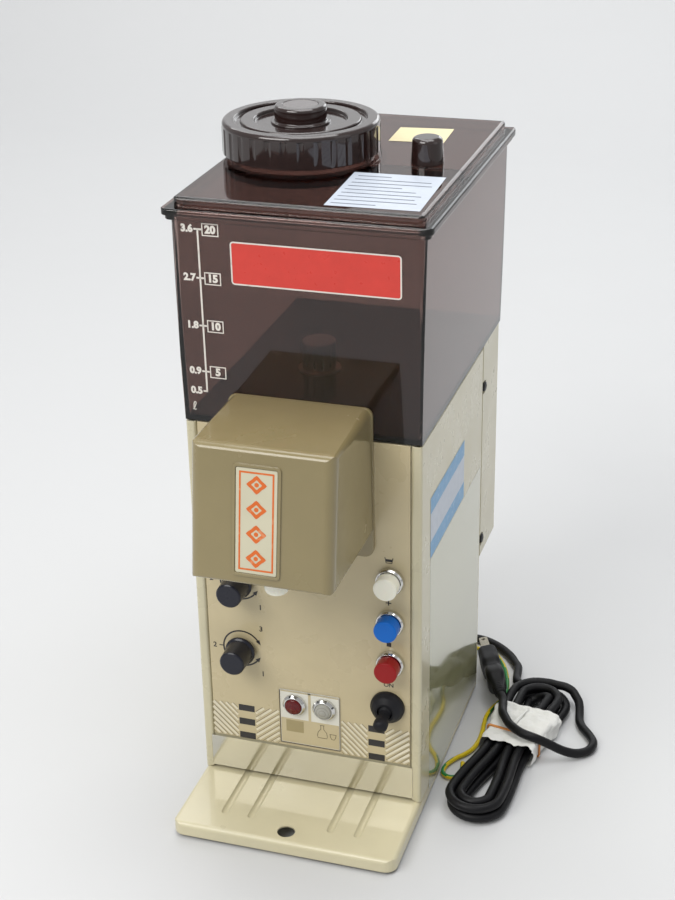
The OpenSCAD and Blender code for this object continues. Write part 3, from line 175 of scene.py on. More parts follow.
# ---------------------------------------------------------------- materials
class Mat:
    """A node-based material built in a few calls. bevel is how far its edges look round, in metres."""

    # sockets of a Mix node that mixes colours
    FACTOR, UNDER, OVER, MIXED = 0, 6, 7, 2

    def __init__(self, name, color, rough=0.4, metal=0.0, coat=0.0, ior=1.5, bevel=0.0):
        self.name = name
        self.material = bpy.data.materials.new(name)
        self.material.use_nodes = True
        self.tree = self.material.node_tree
        self.shader = self.tree.nodes["Principled BSDF"]
        self.shader.inputs["Base Color"].default_value = color
        self.shader.inputs["Roughness"].default_value = rough
        self.shader.inputs["Metallic"].default_value = metal
        self.shader.inputs["IOR"].default_value = ior
        self.shader.inputs["Coat Weight"].default_value = coat
        self.shader.inputs["Coat Roughness"].default_value = 0.06
        self.color = None
        self.normal = None
        self.rough = None
        coordinates = self.node("ShaderNodeTexCoord")
        self.at = coordinates.outputs["Object"]
        if bevel:
            n = self.node("ShaderNodeBevel", samples=6)
            n.inputs["Radius"].default_value = bevel
            self.normal = n.outputs[0]

    def node(self, kind, **settings):
        """A new node with its settings."""
        n = self.tree.nodes.new(kind)
        for key, value in settings.items():
            setattr(n, key, value)
        return n

    def put(self, a, b):
        """Links output a to input b."""
        self.tree.links.new(a, b)

    def noise(self, scale, detail=3, stretch=(1, 1, 1)):
        """A soft noise in the piece's own coordinates, stretched along them."""
        mapping = self.node("ShaderNodeMapping")
        mapping.inputs["Scale"].default_value = stretch
        self.put(self.at, mapping.inputs["Vector"])
        n = self.node("ShaderNodeTexNoise")
        n.inputs["Scale"].default_value = scale
        n.inputs["Detail"].default_value = detail
        n.inputs["Roughness"].default_value = 0.55
        self.put(mapping.outputs[0], n.inputs["Vector"])
        return n.outputs["Fac"]

    def ramp(self, fac, stops):
        """A colour ramp with two stops, each a place and a colour."""
        n = self.node("ShaderNodeValToRGB")
        for element, (position, color) in zip(n.color_ramp.elements, stops):
            element.position = position
            element.color = (*color, 1)
        self.put(fac, n.inputs["Fac"])
        return n.outputs["Color"]

    def span(self, value, lo, hi, a=0.0, b=1.0):
        """Maps lo to hi onto a to b."""
        n = self.node("ShaderNodeMapRange")
        n.inputs["From Min"].default_value = lo
        n.inputs["From Max"].default_value = hi
        n.inputs["To Min"].default_value = a
        n.inputs["To Max"].default_value = b
        self.put(value, n.inputs["Value"])
        return n.outputs[0]

    def axis(self, i):
        """One of the piece's own coordinates."""
        n = self.node("ShaderNodeSeparateXYZ")
        self.put(self.at, n.inputs[0])
        return n.outputs[i]

    def math(self, op, a, b):
        """One operation on two values, each a number or an output."""
        n = self.node("ShaderNodeMath", operation=op)
        for i, v in enumerate((a, b)):
            if isinstance(v, (int, float)):
                n.inputs[i].default_value = v
            else:
                self.put(v, n.inputs[i])
        return n.outputs[0]

    def tint(self, fac, color, mode="MIX"):
        """Mixes color over the base by fac."""
        n = self.node("ShaderNodeMix", data_type="RGBA", blend_type=mode)
        if isinstance(fac, (int, float)):
            n.inputs[self.FACTOR].default_value = fac
        else:
            self.put(fac, n.inputs[self.FACTOR])
        if self.color is None:
            n.inputs[self.UNDER].default_value = self.shader.inputs["Base Color"].default_value
        else:
            self.put(self.color, n.inputs[self.UNDER])
        if isinstance(color, tuple):
            n.inputs[self.OVER].default_value = color
        else:
            self.put(color, n.inputs[self.OVER])
        self.color = n.outputs[self.MIXED]
        return self

    def blotch(self, color, strength, lo, hi, noise):
        """Mixes color over the base where a noise rises from lo to hi."""
        where = self.ramp(noise, [(lo, (0, 0, 0)), (hi, (1, 1, 1))])
        return self.tint(self.math("MULTIPLY", where, strength), color)

    def vary(self, scale, amount):
        """Lightens and darkens the colour by a soft noise."""
        f = self.noise(scale)
        g = self.ramp(f, [(0.3, (1 - amount,) * 3), (0.7, (1 + amount * 0.4,) * 3)])
        return self.tint(1.0, g, "MULTIPLY")

    def roughness(self, scale, lo, hi, stretch=(1, 1, 1)):
        """Lets the roughness wander between lo and hi."""
        self.rough = self.span(self.noise(scale, 4, stretch), 0.3, 0.7, lo, hi)
        return self

    def bump(self, height, dist, strength=1.0):
        """Adds a bump to those there are."""
        n = self.node("ShaderNodeBump")
        n.inputs["Strength"].default_value = strength
        n.inputs["Distance"].default_value = dist
        self.put(height, n.inputs["Height"])
        if self.normal is not None:
            self.put(self.normal, n.inputs["Normal"])
        self.normal = n.outputs[0]
        return self

    def grain(self, scale, dist, strength=1.0, stretch=(1, 1, 1)):
        """Fine bumps dist metres high."""
        return self.bump(self.noise(scale, 3, stretch), dist, strength)

    def done(self):
        """Links what was gathered to the shader."""
        if self.color is not None:
            self.put(self.color, self.shader.inputs["Base Color"])
        if self.rough is not None:
            self.put(self.rough, self.shader.inputs["Roughness"])
        if self.normal is not None:
            self.put(self.normal, self.shader.inputs["Normal"])
            if self.shader.inputs["Coat Weight"].default_value:
                self.put(self.normal, self.shader.inputs["Coat Normal"])
        return self.material


def dress(obj, material):
    """Gives a piece its one material."""
    obj.data.materials.clear()
    obj.data.materials.append(material)
    return obj


def ride(obj, body=BODY, slot=None, *replaced):
    """Ties a piece to a body and hides the CAD nodes that it stands for; the slot is not used."""
    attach(obj, body)
    if replaced:
        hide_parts(*replaced)
    return obj


TANK_FLOOR = 272.5          # the top of the tank's floor, in mm
# colour, roughness, coat, the colour of the stains and their strength
PAINTS = {
    "body_paint": (srgb(203, 196, 166), 0.27, 0.4, srgb(176, 166, 134), 0.22),
    "tray_paint": (srgb(213, 205, 172), 0.3, 0.4, srgb(182, 168, 128), 0.3),
    "hood_paint": (srgb(139, 126, 88), 0.2, 0.5, srgb(118, 106, 72), 0.25),
    "panel_print": (srgb(200, 186, 149), 0.28, 0.4, srgb(180, 164, 124), 0.3),
}
# colour, roughness and the strength of the bumps
RUBBERS = {
    "black_rubber": (srgb(26, 26, 30), 0.5, 0.25),
    "black_cord": (srgb(15, 15, 18), 0.5, 0.15),
    "orange_rubber": (srgb(226, 150, 82), 0.5, 0.25),
    "earth_green": (srgb(40, 128, 62), 0.35, 0.1),
    "earth_yellow": (srgb(222, 196, 36), 0.35, 0.1),
}
# colour, roughness, coat and how much light enters
PLASTICS = {
    "black_plastic": (srgb(34, 34, 36), 0.35, 0.1, 0.0),
    "navy_plastic": (srgb(24, 26, 38), 0.3, 0.2, 0.0),
    "ivory_plastic": (srgb(250, 248, 232), 0.24, 0.2, 0.1),
    "cream_plastic": (srgb(226, 220, 200), 0.3, 0.3, 0.1),
    "blue_plastic": (srgb(0, 104, 200), 0.34, 0.0, 0.0),
    "red_plastic": (srgb(148, 18, 20), 0.32, 0.0, 0.0),
    "iron_core": (srgb(92, 80, 66), 0.5, 0.0, 0.0),
    "white_print": (srgb(226, 224, 212), 0.32, 0.3, 0.0),
    "label_print": (srgb(204, 199, 174), 0.35, 0.2, 0.0),
}
# colour and roughness
METALS = {
    "brass_body": (srgb(190, 150, 88), 0.3),
    "steel_pin": (srgb(190, 190, 188), 0.25),
    "blade_metal": (srgb(168, 162, 146), 0.26),
}
LENSES = {"red_lens": srgb(124, 6, 12), "clear_lens": srgb(205, 203, 192)}
# colour and roughness, and of worn ones the strength of the wear and the colour under them
INKS = {
    "white_ink": (srgb(226, 222, 214), 0.4, 0.25, srgb(150, 132, 118)),
    "cream_ink": (srgb(226, 218, 194), 0.35, 0.4, srgb(190, 176, 140)),
    "dark_ink": (srgb(42, 40, 42), 0.35),
    "brown_ink": (srgb(96, 86, 66), 0.4),
    "grey_ink": (srgb(108, 114, 128), 0.5),
    "tan_ink": (srgb(164, 150, 110), 0.4),
    "orange_ink": (srgb(216, 104, 34), 0.4, 0.35, srgb(226, 180, 140)),
    "plaque_red": (srgb(212, 62, 52), 0.3),
    "label_blank": (srgb(196, 204, 216), 0.35),
    "sky_ink": (srgb(112, 166, 208), 0.35, 0.5, srgb(170, 200, 222)),
    "note_cream": (srgb(226, 214, 172), 0.6),
}


def paint(name, color, rough, coat, stain, strength):
    """A stoved paint, a little stained and speckled."""
    m = Mat(name, color, rough, coat=coat, bevel=0.0006)
    m.vary(9, 0.05)
    m.vary(60, 0.03)
    m.blotch(stain, strength, 0.42, 0.95, m.noise(7, 2, (1, 1, 0.5)))
    m.blotch(stain, 0.12, 0.74, 0.78, m.noise(420, 2))
    return m.roughness(30, rough - 0.05, rough + 0.1).done()


def rubber(name, color, rough, bumps):
    """Dull and finely bumpy."""
    m = Mat(name, color, rough, bevel=0.0004)
    m.shader.inputs["Specular IOR Level"].default_value = 0.25
    m.vary(50, 0.18).roughness(70, rough - 0.12, rough + 0.1)
    return m.grain(1500, 0.00003, bumps).done()


def plastic(name, color, rough, coat, glow):
    """Moulded plastic; glow is how much light enters."""
    m = Mat(name, color, rough, coat=coat, bevel=0.0004)
    m.shader.inputs["Specular IOR Level"].default_value = 0.3
    m.shader.inputs["Subsurface Weight"].default_value = glow
    m.shader.inputs["Subsurface Radius"].default_value = (0.002, 0.0016, 0.001)
    m.vary(35, 0.05).roughness(60, rough - 0.05, rough + 0.08)
    return m.grain(900, 0.00002, 0.2).done()


def metal(name, color, rough):
    """Bare metal with a faint grain."""
    m = Mat(name, color, rough, 1.0, bevel=0.0003)
    m.vary(70, 0.12).roughness(90, rough - 0.07, rough + 0.12)
    return m.grain(500, 0.00002, 0.3, (1, 8, 1)).done()


def ink(name, color, rough, wear=0.0, under=None):
    """A printed colour, worn through in places to the one under it."""
    m = Mat(name, color, rough).vary(120, 0.05)
    if wear:
        m.blotch(under, wear, 0.60, 0.66, m.noise(160, 5))
    return m.roughness(200, rough - 0.05, rough + 0.1).done()


def lens(name, color):
    """Clear coloured plastic, pebbled inside."""
    m = Mat(name, color, 0.08, ior=1.49, bevel=0.0003)
    m.shader.inputs["Transmission Weight"].default_value = 0.4
    m.vary(200, 0.1)
    cells = m.node("ShaderNodeTexVoronoi")
    cells.inputs["Scale"].default_value = 900
    m.put(m.at, cells.inputs["Vector"])
    return m.bump(cells.outputs["Distance"], 0.0002, 0.3).done()


def smoked_plastic():
    """Clear brown plastic. Below the tank's floor its walls are painted near black: painted shade standing in
    for the dark cabinet seen through them.
    """
    m = Mat("smoked_plastic", (0.31, 0.208, 0.185, 1), 0.03, ior=1.49, bevel=0.0006)
    m.shader.inputs["Transmission Weight"].default_value = 1.0
    m.vary(6, 0.06)
    floor_z = (NODES["tank"].matrix_world.inverted() @ Vector((0, 0, TANK_FLOOR / 1000))).z
    # painted shade: below the tank's floor the walls' colour turns near black
    m.tint(m.span(m.axis(2), floor_z + 0.0006, floor_z - 0.0002), (0.012, 0.010, 0.010, 1))
    return m.roughness(40, 0.02, 0.07).done()


def side_film():
    """The glossy film on the right side, with level scuffs."""
    m = Mat("side_film", srgb(176, 174, 134), 0.07, coat=1.0).vary(14, 0.06)
    m.blotch(srgb(130, 128, 92), 0.5, 0.5, 0.7, m.noise(60, 5, (1, 0.05, 1)))
    return m.roughness(90, 0.04, 0.14, (1, 0.05, 1)).done()


def build_materials():
    """Every material by its name; those of the CAD's slots bear the slots' names."""
    mats = {"smoked_plastic": smoked_plastic(), "side_film": side_film()}
    makers = ((paint, PAINTS), (rubber, RUBBERS), (plastic, PLASTICS), (metal, METALS), (ink, INKS))
    for make, looks in makers:
        for name, look in looks.items():
            mats[name] = make(name, *look)
    for name, color in LENSES.items():
        mats[name] = lens(name, color)
        # painted shade: each lens's rings take its colour at 0.45, standing in for the shade of the moulded
        # rings
        ring = Mat("ring_" + name, tuple(0.45 * v for v in color[:3]) + (1,), 0.15)
        mats[ring.name] = ring.vary(200, 0.1).roughness(90, 0.1, 0.2).done()
    others = (
        Mat("plain_steel", srgb(178, 178, 176), 0.32, 1.0, bevel=0.0006)
        .vary(40, 0.08).grain(300, 0.00002, 0.4, (1, 1, 12)),
        Mat("chromed", srgb(216, 216, 214), 0.1, 1.0, bevel=0.0002)
        .vary(80, 0.05).roughness(120, 0.06, 0.18),
        Mat("polished_strip", srgb(205, 202, 190), 0.13, 1.0)
        .vary(30, 0.04).roughness(12, 0.1, 0.17, (0.3, 1, 1)),
        Mat("dark_brown_plastic", srgb(40, 25, 23), 0.1, coat=0.8, bevel=0.0006)
        .vary(30, 0.1).roughness(60, 0.08, 0.2),
        Mat("disc_plastic", srgb(104, 98, 98), 0.2, coat=0.5, bevel=0.0002)
        .vary(60, 0.1).roughness(80, 0.16, 0.28),
        Mat("green_board", srgb(24, 92, 52), 0.35, coat=0.3, bevel=0.0002)
        .vary(150, 0.15).roughness(90, 0.3, 0.42),
        Mat("white_paper", srgb(232, 232, 228), 0.75)
        .vary(60, 0.04).grain(700, 0.00005, 0.3),
    )
    for m in others:
        mats[m.name] = m.done()
    silicone = Mat("silicone", srgb(214, 210, 200), 0.35, bevel=0.0003)
    silicone.shader.inputs["Transmission Weight"].default_value = 0.35
    mats["silicone"] = silicone.vary(40, 0.05).roughness(50, 0.3, 0.45).done()
    return mats


def dress_frame(mats):
    """Every CAD node takes the finer material of its own slot."""
    for obj in NODES.values():
        for i, m in enumerate(obj.data.materials):
            if m and m.name.split(".")[0] in mats:
                obj.data.materials[i] = mats[m.name.split(".")[0]]


# ---------------------------------------------------------------- cords
CORD_D, EARTH_D = 6.2, 3.2
FLOOR_Z, EARTH_Z = CORD_D / 2 + 0.2, EARTH_D / 2 + 0.2        # their heights where they lie on the table
LEAD = [(32, 183, 30), (32, 190, 30), (33, 198, 26), (36, 208, 16), (43, 216, 6.5),
        (55, 219.5, FLOOR_Z), (69, 218, FLOOR_Z), (82, 211, FLOOR_Z), (93, 200, FLOOR_Z),
        (101, 186, FLOOR_Z + 0.4)]
TAIL = [(146.5, 157.5, 10), (152.5, 150, 7), (155, 141, 4.5), (156.5, 132, FLOOR_Z), (160, 124, FLOOR_Z),
        (166, 116, FLOOR_Z), (170.5, 107, FLOOR_Z), (168.5, 97.5, FLOOR_Z), (161, 91, 4), (152, 86.5, 8),
        (143, 83, 14), (134, 80.5, 18.8), (124, 82, 20.4), (114, 90, 20.8), (107, 102, 21.4)]
EARTH = [(53, 183, 30), (53, 190, 29.6), (54, 197, 22), (58, 202, 10), (64, 205.5, 3.4),
         (72, 206.5, EARTH_Z), (80, 202.5, EARTH_Z), (86.5, 194, EARTH_Z), (91.5, 184, EARTH_Z),
         (95.5, 172, EARTH_Z), (98, 160, EARTH_Z), (98.2, 150, EARTH_Z), (96, 140, EARTH_Z),
         (93, 131, EARTH_Z), (91.5, 121, EARTH_Z), (92, 111, EARTH_Z), (93, 101, EARTH_Z),
         (93, 90, EARTH_Z), (91.3, 80, EARTH_Z), (87.5, 72.5, EARTH_Z), (82.6, 66, EARTH_Z),
         (78.8, 58.5, EARTH_Z), (77.4, 50.6, EARTH_Z), (79.4, 45.6, EARTH_Z), (83.7, 43.8, EARTH_Z),
         (88, 45.6, EARTH_Z), (89.9, 50.2, EARTH_Z), (89.6, 56, EARTH_Z), (88.3, 62, EARTH_Z)]

# the hank: a flat spiral in two layers, drawn in at its waist
HANK_C = Vector((116.5, 80, 0))
HANK_TURN = math.radians(-8)
HANK_LEN, HANK_R, HANK_WAIST = 164, 20.5, 14.4
HANK_HALF = HANK_LEN / 2 - HANK_R
HANK_LOOPS, HANK_POINTS = 4, 24                 # loops, and points to each
HANK_STEP = CORD_D + 1                          # from one loop to the next inside it
HANK_LOW, HANK_LAYER = CORD_D / 2 + 1.3, CORD_D + 0.7

PLUG_AT = Vector((100.5, 127, 18.2))
PLUG_TURN, PLUG_TILT, PLUG_ROLL = math.radians(21.5), math.radians(-6.1), math.radians(80)


def curve_through(p, parts):
    """Points along one smooth curve through p, so many to each stretch."""
    out = []
    for i in range(len(p) - 1):
        a, b, c, d = p[max(i - 1, 0)], p[i], p[i + 1], p[min(i + 2, len(p) - 1)]
        for j in range(parts):
            t = j / parts
            out.append(0.5 * (2 * b + (c - a) * t + (2 * a - 5 * b + 4 * c - d) * t * t
                              + (3 * b - a - 3 * c + d) * t ** 3))
    return out + [p[-1]]


def route_length(p):
    """The length of the way through p."""
    return sum((b - a).length for a, b in zip(p, p[1:]))


def hank_place(across, along):
    """X and Y in mm of a place in the hank's own frame."""
    cos, sin = math.cos(HANK_TURN), math.sin(HANK_TURN)
    return HANK_C.x + across * cos - along * sin, HANK_C.y + along * cos + across * sin


def on_hank(across, along, z):
    """The place in the frame of one given in mm in the hank's own frame."""
    return mm(*hank_place(across, along), z)


def hank_point(s):
    """A point of the spiral after s loops: it winds in, climbs a layer halfway and winds out again."""
    radius = HANK_R - HANK_STEP * min(s, HANK_LOOPS - s)
    part = s - math.floor(s)

    def side(along):
        """How far out a straight stretch runs; the wrapping draws it in."""
        return radius - (HANK_R - HANK_WAIST) * math.cos(math.pi / 2 * along / HANK_HALF) ** 2

    # a loop in eighths: half an end, a side of two, an end of two, a side of two and half an end
    if part < 0.125:
        a = math.radians(part * 720)
        along, across = HANK_HALF + radius * math.cos(a), radius * math.sin(a)
    elif part < 0.375:
        along = HANK_HALF * (1 - (part - 0.125) * 8)
        across = side(along)
    elif part < 0.625:
        a = math.radians((part - 0.375) * 720)
        along, across = -HANK_HALF - radius * math.sin(a), radius * math.cos(a)
    elif part < 0.875:
        along = HANK_HALF * ((part - 0.625) * 8 - 1)
        across = -side(along)
    else:
        a = math.radians((part - 0.875) * 720)
        along, across = HANK_HALF + radius * math.sin(a), -radius * math.cos(a)
    climb = max(0.0, min(1.0, (s - HANK_LOOPS / 2) / 0.25 + 0.5))
    return Vector((*hank_place(across, along), HANK_LOW + HANK_LAYER * climb * climb * (3 - 2 * climb)))


def cord_points():
    """The lead, the hank and the tail to the plug as one run of points, in mm."""
    turns = [hank_point(k / HANK_POINTS) for k in range(HANK_POINTS * HANK_LOOPS + 1)]
    along = Vector((math.cos(HANK_TURN), math.sin(HANK_TURN), 0))
    start, end = turns[0] - 1.2 * CORD_D * along, turns[-1] + 1.2 * CORD_D * along
    lead = curve_through([Vector(p) for p in LEAD], 2)
    lead += [start - 5 * k * along + Vector((-0.5, 0.9, 0)) * max(k - 1, 0) ** 2 for k in (3, 2, 1)]
    tip = Vector((-math.sin(PLUG_TURN) * math.cos(PLUG_TILT), math.cos(PLUG_TURN) * math.cos(PLUG_TILT),
                  math.sin(PLUG_TILT)))
    tail = [end, end + 6 * along] + curve_through([Vector(p) for p in TAIL], 2)
    tail += [PLUG_AT - 9 * tip, PLUG_AT - 3 * tip, PLUG_AT]
    return lead + [start] + turns + tail


def cord_curve(name, points_mm, diameter_mm):
    """A round cord as a curve, with its length in metres."""
    points = [mm(*p) for p in curve_through(points_mm, 3)]
    data = bpy.data.curves.new(name, "CURVE")
    data.dimensions = "3D"
    data.bevel_depth = diameter_mm / 2000
    data.bevel_resolution = 5
    data.use_fill_caps = True
    spline = data.splines.new("POLY")
    spline.points.add(len(points) - 1)
    for q, p in zip(spline.points, points):
        q.co = (*p, 1)
    spline.use_smooth = True
    return link(bpy.data.objects.new(name, data)), route_length(points)


def tube_mesh(name, points, radius, stripes):
    """A closed tube. stripes gives the material index of each side, and they wind slowly round it."""
    n, sides, wind = len(points), len(stripes), 9
    along = [(points[min(i + 1, n - 1)] - points[max(i - 1, 0)]).normalized() for i in range(n)]
    normal = Vector((0.01, 0.01, 1))
    verts, faces, index = [], [], []
    for i, p in enumerate(points):
        normal = (normal - along[i] * normal.dot(along[i])).normalized()
        side = along[i].cross(normal)
        for k in range(sides):
            a = 2 * math.pi * k / sides
            verts.append(p + radius * (math.cos(a) * normal + math.sin(a) * side))
    for i in range(n - 1):
        for k in range(sides):
            a, b = i * sides + k, i * sides + (k + 1) % sides
            faces.append((a, b, b + sides, a + sides))
            index.append(stripes[(k + i // wind) % sides])
    faces += [tuple(range(sides))[::-1], tuple(range((n - 1) * sides, n * sides))]
    obj = mesh_object(name, verts, faces)
    for face, m in zip(obj.data.polygons, index):
        face.material_index = m
    return obj


def add_cords(mats):
    """The mains lead with its hank and plug, and the earth wire."""
    points = cord_points()
    lead, length = cord_curve("mains_lead", points, CORD_D)
    dress(lead, mats["black_cord"])
    ride(lead, BODY, "black_cord", "power_cord", "cord_hank")
    add_plug(mats)
    path = [mm(*p) for p in curve_through([Vector(p) for p in EARTH], 8)]
    yellow_green = [1] * 8 + [0] * 4
    earth = tube_mesh("earth_lead", path, EARTH_D / 2000, yellow_green)
    for m in (mats["earth_green"], mats["earth_yellow"]):
        earth.data.materials.append(m)
    ride(earth, BODY, "earth_green", "earth_wire")


# ---------------------------------------------------------------- plug
def loft(name, rings, close=True, smooth=True):
    """A skin through rings of the same number of points, closed at its ends or open."""
    n = len(rings[0])
    verts = [p for r in rings for p in r]
    faces = [(i * n + k, i * n + (k + 1) % n, (i + 1) * n + (k + 1) % n, (i + 1) * n + k)
             for i in range(len(rings) - 1) for k in range(n)]
    if close:
        faces += [tuple(range(n))[::-1], tuple(range((len(rings) - 1) * n, len(rings) * n))]
    return turn_outward(mesh_object(name, verts, faces, smooth))


def round_rect(hw, hh, r, n=6):
    """Points of a rounded rectangle about the origin, n + 1 to each corner."""
    points = []
    for sx, sy, a0 in ((1, 1, 0), (-1, 1, 90), (-1, -1, 180), (1, -1, 270)):
        for k in range(n + 1):
            a = math.radians(a0 + 90 * k / n)
            points.append((sx * (hw - r) + r * math.cos(a), sy * (hh - r) + r * math.sin(a)))
    return points


def plug_rings(sections, roundness):
    """Rings across the plug; a section is its place along it, its half width and half height, in mm."""
    at = (Matrix.Translation(mm(*PLUG_AT)) @ Matrix.Rotation(PLUG_TURN, 4, "Z")
          @ Matrix.Rotation(PLUG_TILT, 4, "X") @ Matrix.Rotation(PLUG_ROLL, 4, "Y"))
    return [[at @ Vector((x / 1000, y / 1000, z / 1000)) for x, z in round_rect(w, h, min(w, h) * roundness)]
            for y, w, h in sections]


PLUG_SECTIONS = [(0, 3.5, 3.5), (1, 3.9, 3.7), (12, 4.9, 4.5), (15, 6.6, 5.2), (18, 9.2, 6.4), (21, 9.9, 6.8),
                 (25, 9.9, 6.8), (29, 9.4, 6.6), (32.5, 7.8, 6.3), (35, 7.3, 6.2), (37.5, 7.8, 6.4),
                 (40, 9.6, 6.9), (42.5, 10.2, 7.1), (50, 10.2, 7.1), (58, 10.2, 7.1), (60.4, 9.9, 6.9),
                 (61.7, 9.2, 6.2), (62, 8.2, 5.4)]
RIBS_AT = (3.2, 5.4, 7.6, 9.8)


def add_plug(mats):
    """A moulded two-blade plug's relief, waisted grip and body, and the ribs on its relief."""
    body = loft("plug_moulding", plug_rings(PLUG_SECTIONS, 0.62))
    sub = body.modifiers.new("smooth", "SUBSURF")
    sub.levels = sub.render_levels = 1
    dress(body, mats["black_cord"])
    ride(body, BODY, "black_cord", "plug_body")
    ribs = []
    for y in RIBS_AT:
        w, h = 3.9 + y * 0.085 + 0.25, 3.7 + y * 0.07 + 0.25
        ribs += [(y - 0.5, w - 0.5, h - 0.5), (y - 0.35, w, h), (y + 0.35, w, h), (y + 0.5, w - 0.5, h - 0.5)]
    relief = loft("plug_relief_ribs", plug_rings(ribs, 0.8))
    dress(relief, mats["black_cord"])
    ride(relief, BODY, "black_cord")
    return [body, relief, "plug_blades"]


# ---------------------------------------------------------------- paper and band
PAPER_FROM, PAPER_LONG, PAPER_ROUND = -6, 46, 110        # mm along the hank, and once round it
PAPER_LOW, PAPER_TOP = 0.8, HANK_LOW + HANK_LAYER + CORD_D / 2 + 0.5
BAND_AT, BAND_TURN = 9, math.radians(-3)
# each fold: its waves to a mm along and across, its shift and its height in mm
PAPER_FOLDS = ((0.071, 0.043, 0.2, 0.9), (-0.052, 0.09, 0.6, 0.7), (0.145, -0.05, 0.1, 0.35),
               (0.03, 0.21, 0.4, 0.25))
EDGE_FOLDS = ((0.06, 0, 0.1, 1.0), (0.17, 0, 0.3, 0.5))


def wrap_half(along):
    """Half the width of the wrapped hank, drawn in at its waist."""
    return HANK_WAIST + CORD_D / 2 + 0.4 + 5.2 * math.sin(math.pi / 2 * max(along, 0) / HANK_HALF) ** 2


def crease(x, y, folds):
    """Sharp folds crossing each other: a sum of triangle waves."""
    total = 0.0
    for ax, ay, shift, high in folds:
        t = (x * ax + y * ay + shift) % 1.0
        total += high * (1 - abs(2 * t - 1))
    return total


def box_normal(x, y, power):
    """The way out of a rounded box with its sides at 1 and -1, at its point (x, y)."""
    x, y = x ** power, y ** power
    length = math.hypot(x, y) or 1
    return x / length, y / length


def split_sides(outline, corner, wide, high):
    """Splits a rounded rectangle's straight sides; corner is the number of points of its corners."""
    out = []
    for k, p in enumerate(outline):
        q = outline[(k + 1) % len(outline)]
        n = 1
        if k % corner == corner - 1:
            n = wide if abs(q[0] - p[0]) > abs(q[1] - p[1]) else high
        out += [(p[0] + (q[0] - p[0]) * j / n, p[1] + (q[1] - p[1]) * j / n) for j in range(n)]
    return out


def add_paper(mats):
    """The folded paper round the hank, ragged at its ends and flat under the band."""
    middle, half_high = (PAPER_LOW + PAPER_TOP) / 2, (PAPER_TOP - PAPER_LOW) / 2
    rows = 34
    rings = []
    for i in range(rows):
        f = i / (rows - 1)
        half_wide = wrap_half(PAPER_FROM + PAPER_LONG * f) + 0.4
        outline = split_sides(round_rect(half_wide, half_high, 2.2, 4), 5, 26, 8)
        ring = []
        for k, (across, z) in enumerate(outline):
            s = PAPER_ROUND * k / len(outline)
            rag = 1.9 * (crease(s, 0, EDGE_FOLDS) - 0.7)
            along = PAPER_FROM + rag * (1 - f) * 1.2 + (PAPER_LONG - rag * 0.4 - rag * (1 - f) * 0.8) * f
            cinch = min(1.0, max(0.0, (abs(along - BAND_AT) - 1.6) / 7.0))
            out = crease(s, along, PAPER_FOLDS) * cinch * (0.7 + 0.9 * f)
            side, rise = box_normal(across / half_wide, z / half_high, 7)
            high = middle + z + out * rise * (0.25 if z < 0 else 1.0)
            ring.append(on_hank(across + out * side, along, max(0.45, high)))
        rings.append(ring)
    paper = loft("paper_fold", rings, close=False, smooth=False)
    dress(paper, mats["white_paper"])
    ride(paper, BODY, "white_paper", "paper_wrap")


def add_paper_roll(mats):
    """A corner of the paper rolled up, lying on the wrap."""
    rings, rows, sides = [], 16, 14
    for i in range(rows):
        f = i / (rows - 1)
        across, along, z = -2.6 + 3.6 * f, 13.5 + 22.5 * f, PAPER_TOP + 2.2 + 0.5 * math.sin(3 * f)
        r = 1.25 + 0.35 * math.sin(5 * f + 1)
        rings.append([on_hank(across + r * math.cos(t), along, z + r * math.sin(t) * 0.85)
                      for t in (2 * math.pi * k / sides for k in range(sides))])
    roll = loft("paper_roll", rings)
    dress(roll, mats["white_paper"])
    ride(roll, BODY, "white_paper")


def add_band(mats):
    """The rubber band that cinches the paper, a little askew."""
    section = ((-0.95, -0.38), (-0.95, 0.38), (-0.6, 0.46), (0.6, 0.46), (0.95, 0.38), (0.95, -0.38))
    half_wide, middle = wrap_half(12) + 1.0, (PAPER_TOP + 0.85) / 2
    loop = round_rect(half_wide, (PAPER_TOP + 0.75) / 2 - 0.4, 1.4, 6)
    cos, sin = math.cos(BAND_TURN), math.sin(BAND_TURN)
    n, sides = len(loop), len(section)
    verts, faces = [], []
    for k, (across, z) in enumerate(loop):
        sway = 0.35 * math.sin(across * 0.35 + 0.8)
        side, rise = box_normal(across / half_wide, z / (middle - 0.4), 5)
        for width, thick in section:
            x, y = across + side * thick, width + sway
            high = max(0.08, middle + z + rise * thick)
            verts.append(on_hank(x * cos - y * sin, BAND_AT + x * sin + y * cos, high))
        for j in range(sides):
            here, there = k * sides, (k + 1) % n * sides
            faces.append((here + j, here + (j + 1) % sides, there + (j + 1) % sides, there + j))
    band = turn_outward(mesh_object("stretched_band", verts, faces))
    dress(band, mats["orange_rubber"])
    ride(band, BODY, "orange_rubber", "rubber_band")


# ---------------------------------------------------------------- prints
# how far a print stands off its face, in mm: the first layer, and those on top of another
FIRST, SECOND, THIRD = 0.08, 0.12, 0.16
FIGURE_HIGH = 0.69          # of the built-in font at size 1


def sideways(p, q, width):
    """The step from the line p to q to the edge of a stroke along it."""
    d = math.hypot(q[0] - p[0], q[1] - p[1])
    return -(q[1] - p[1]) / d * width / 2, (q[0] - p[0]) / d * width / 2


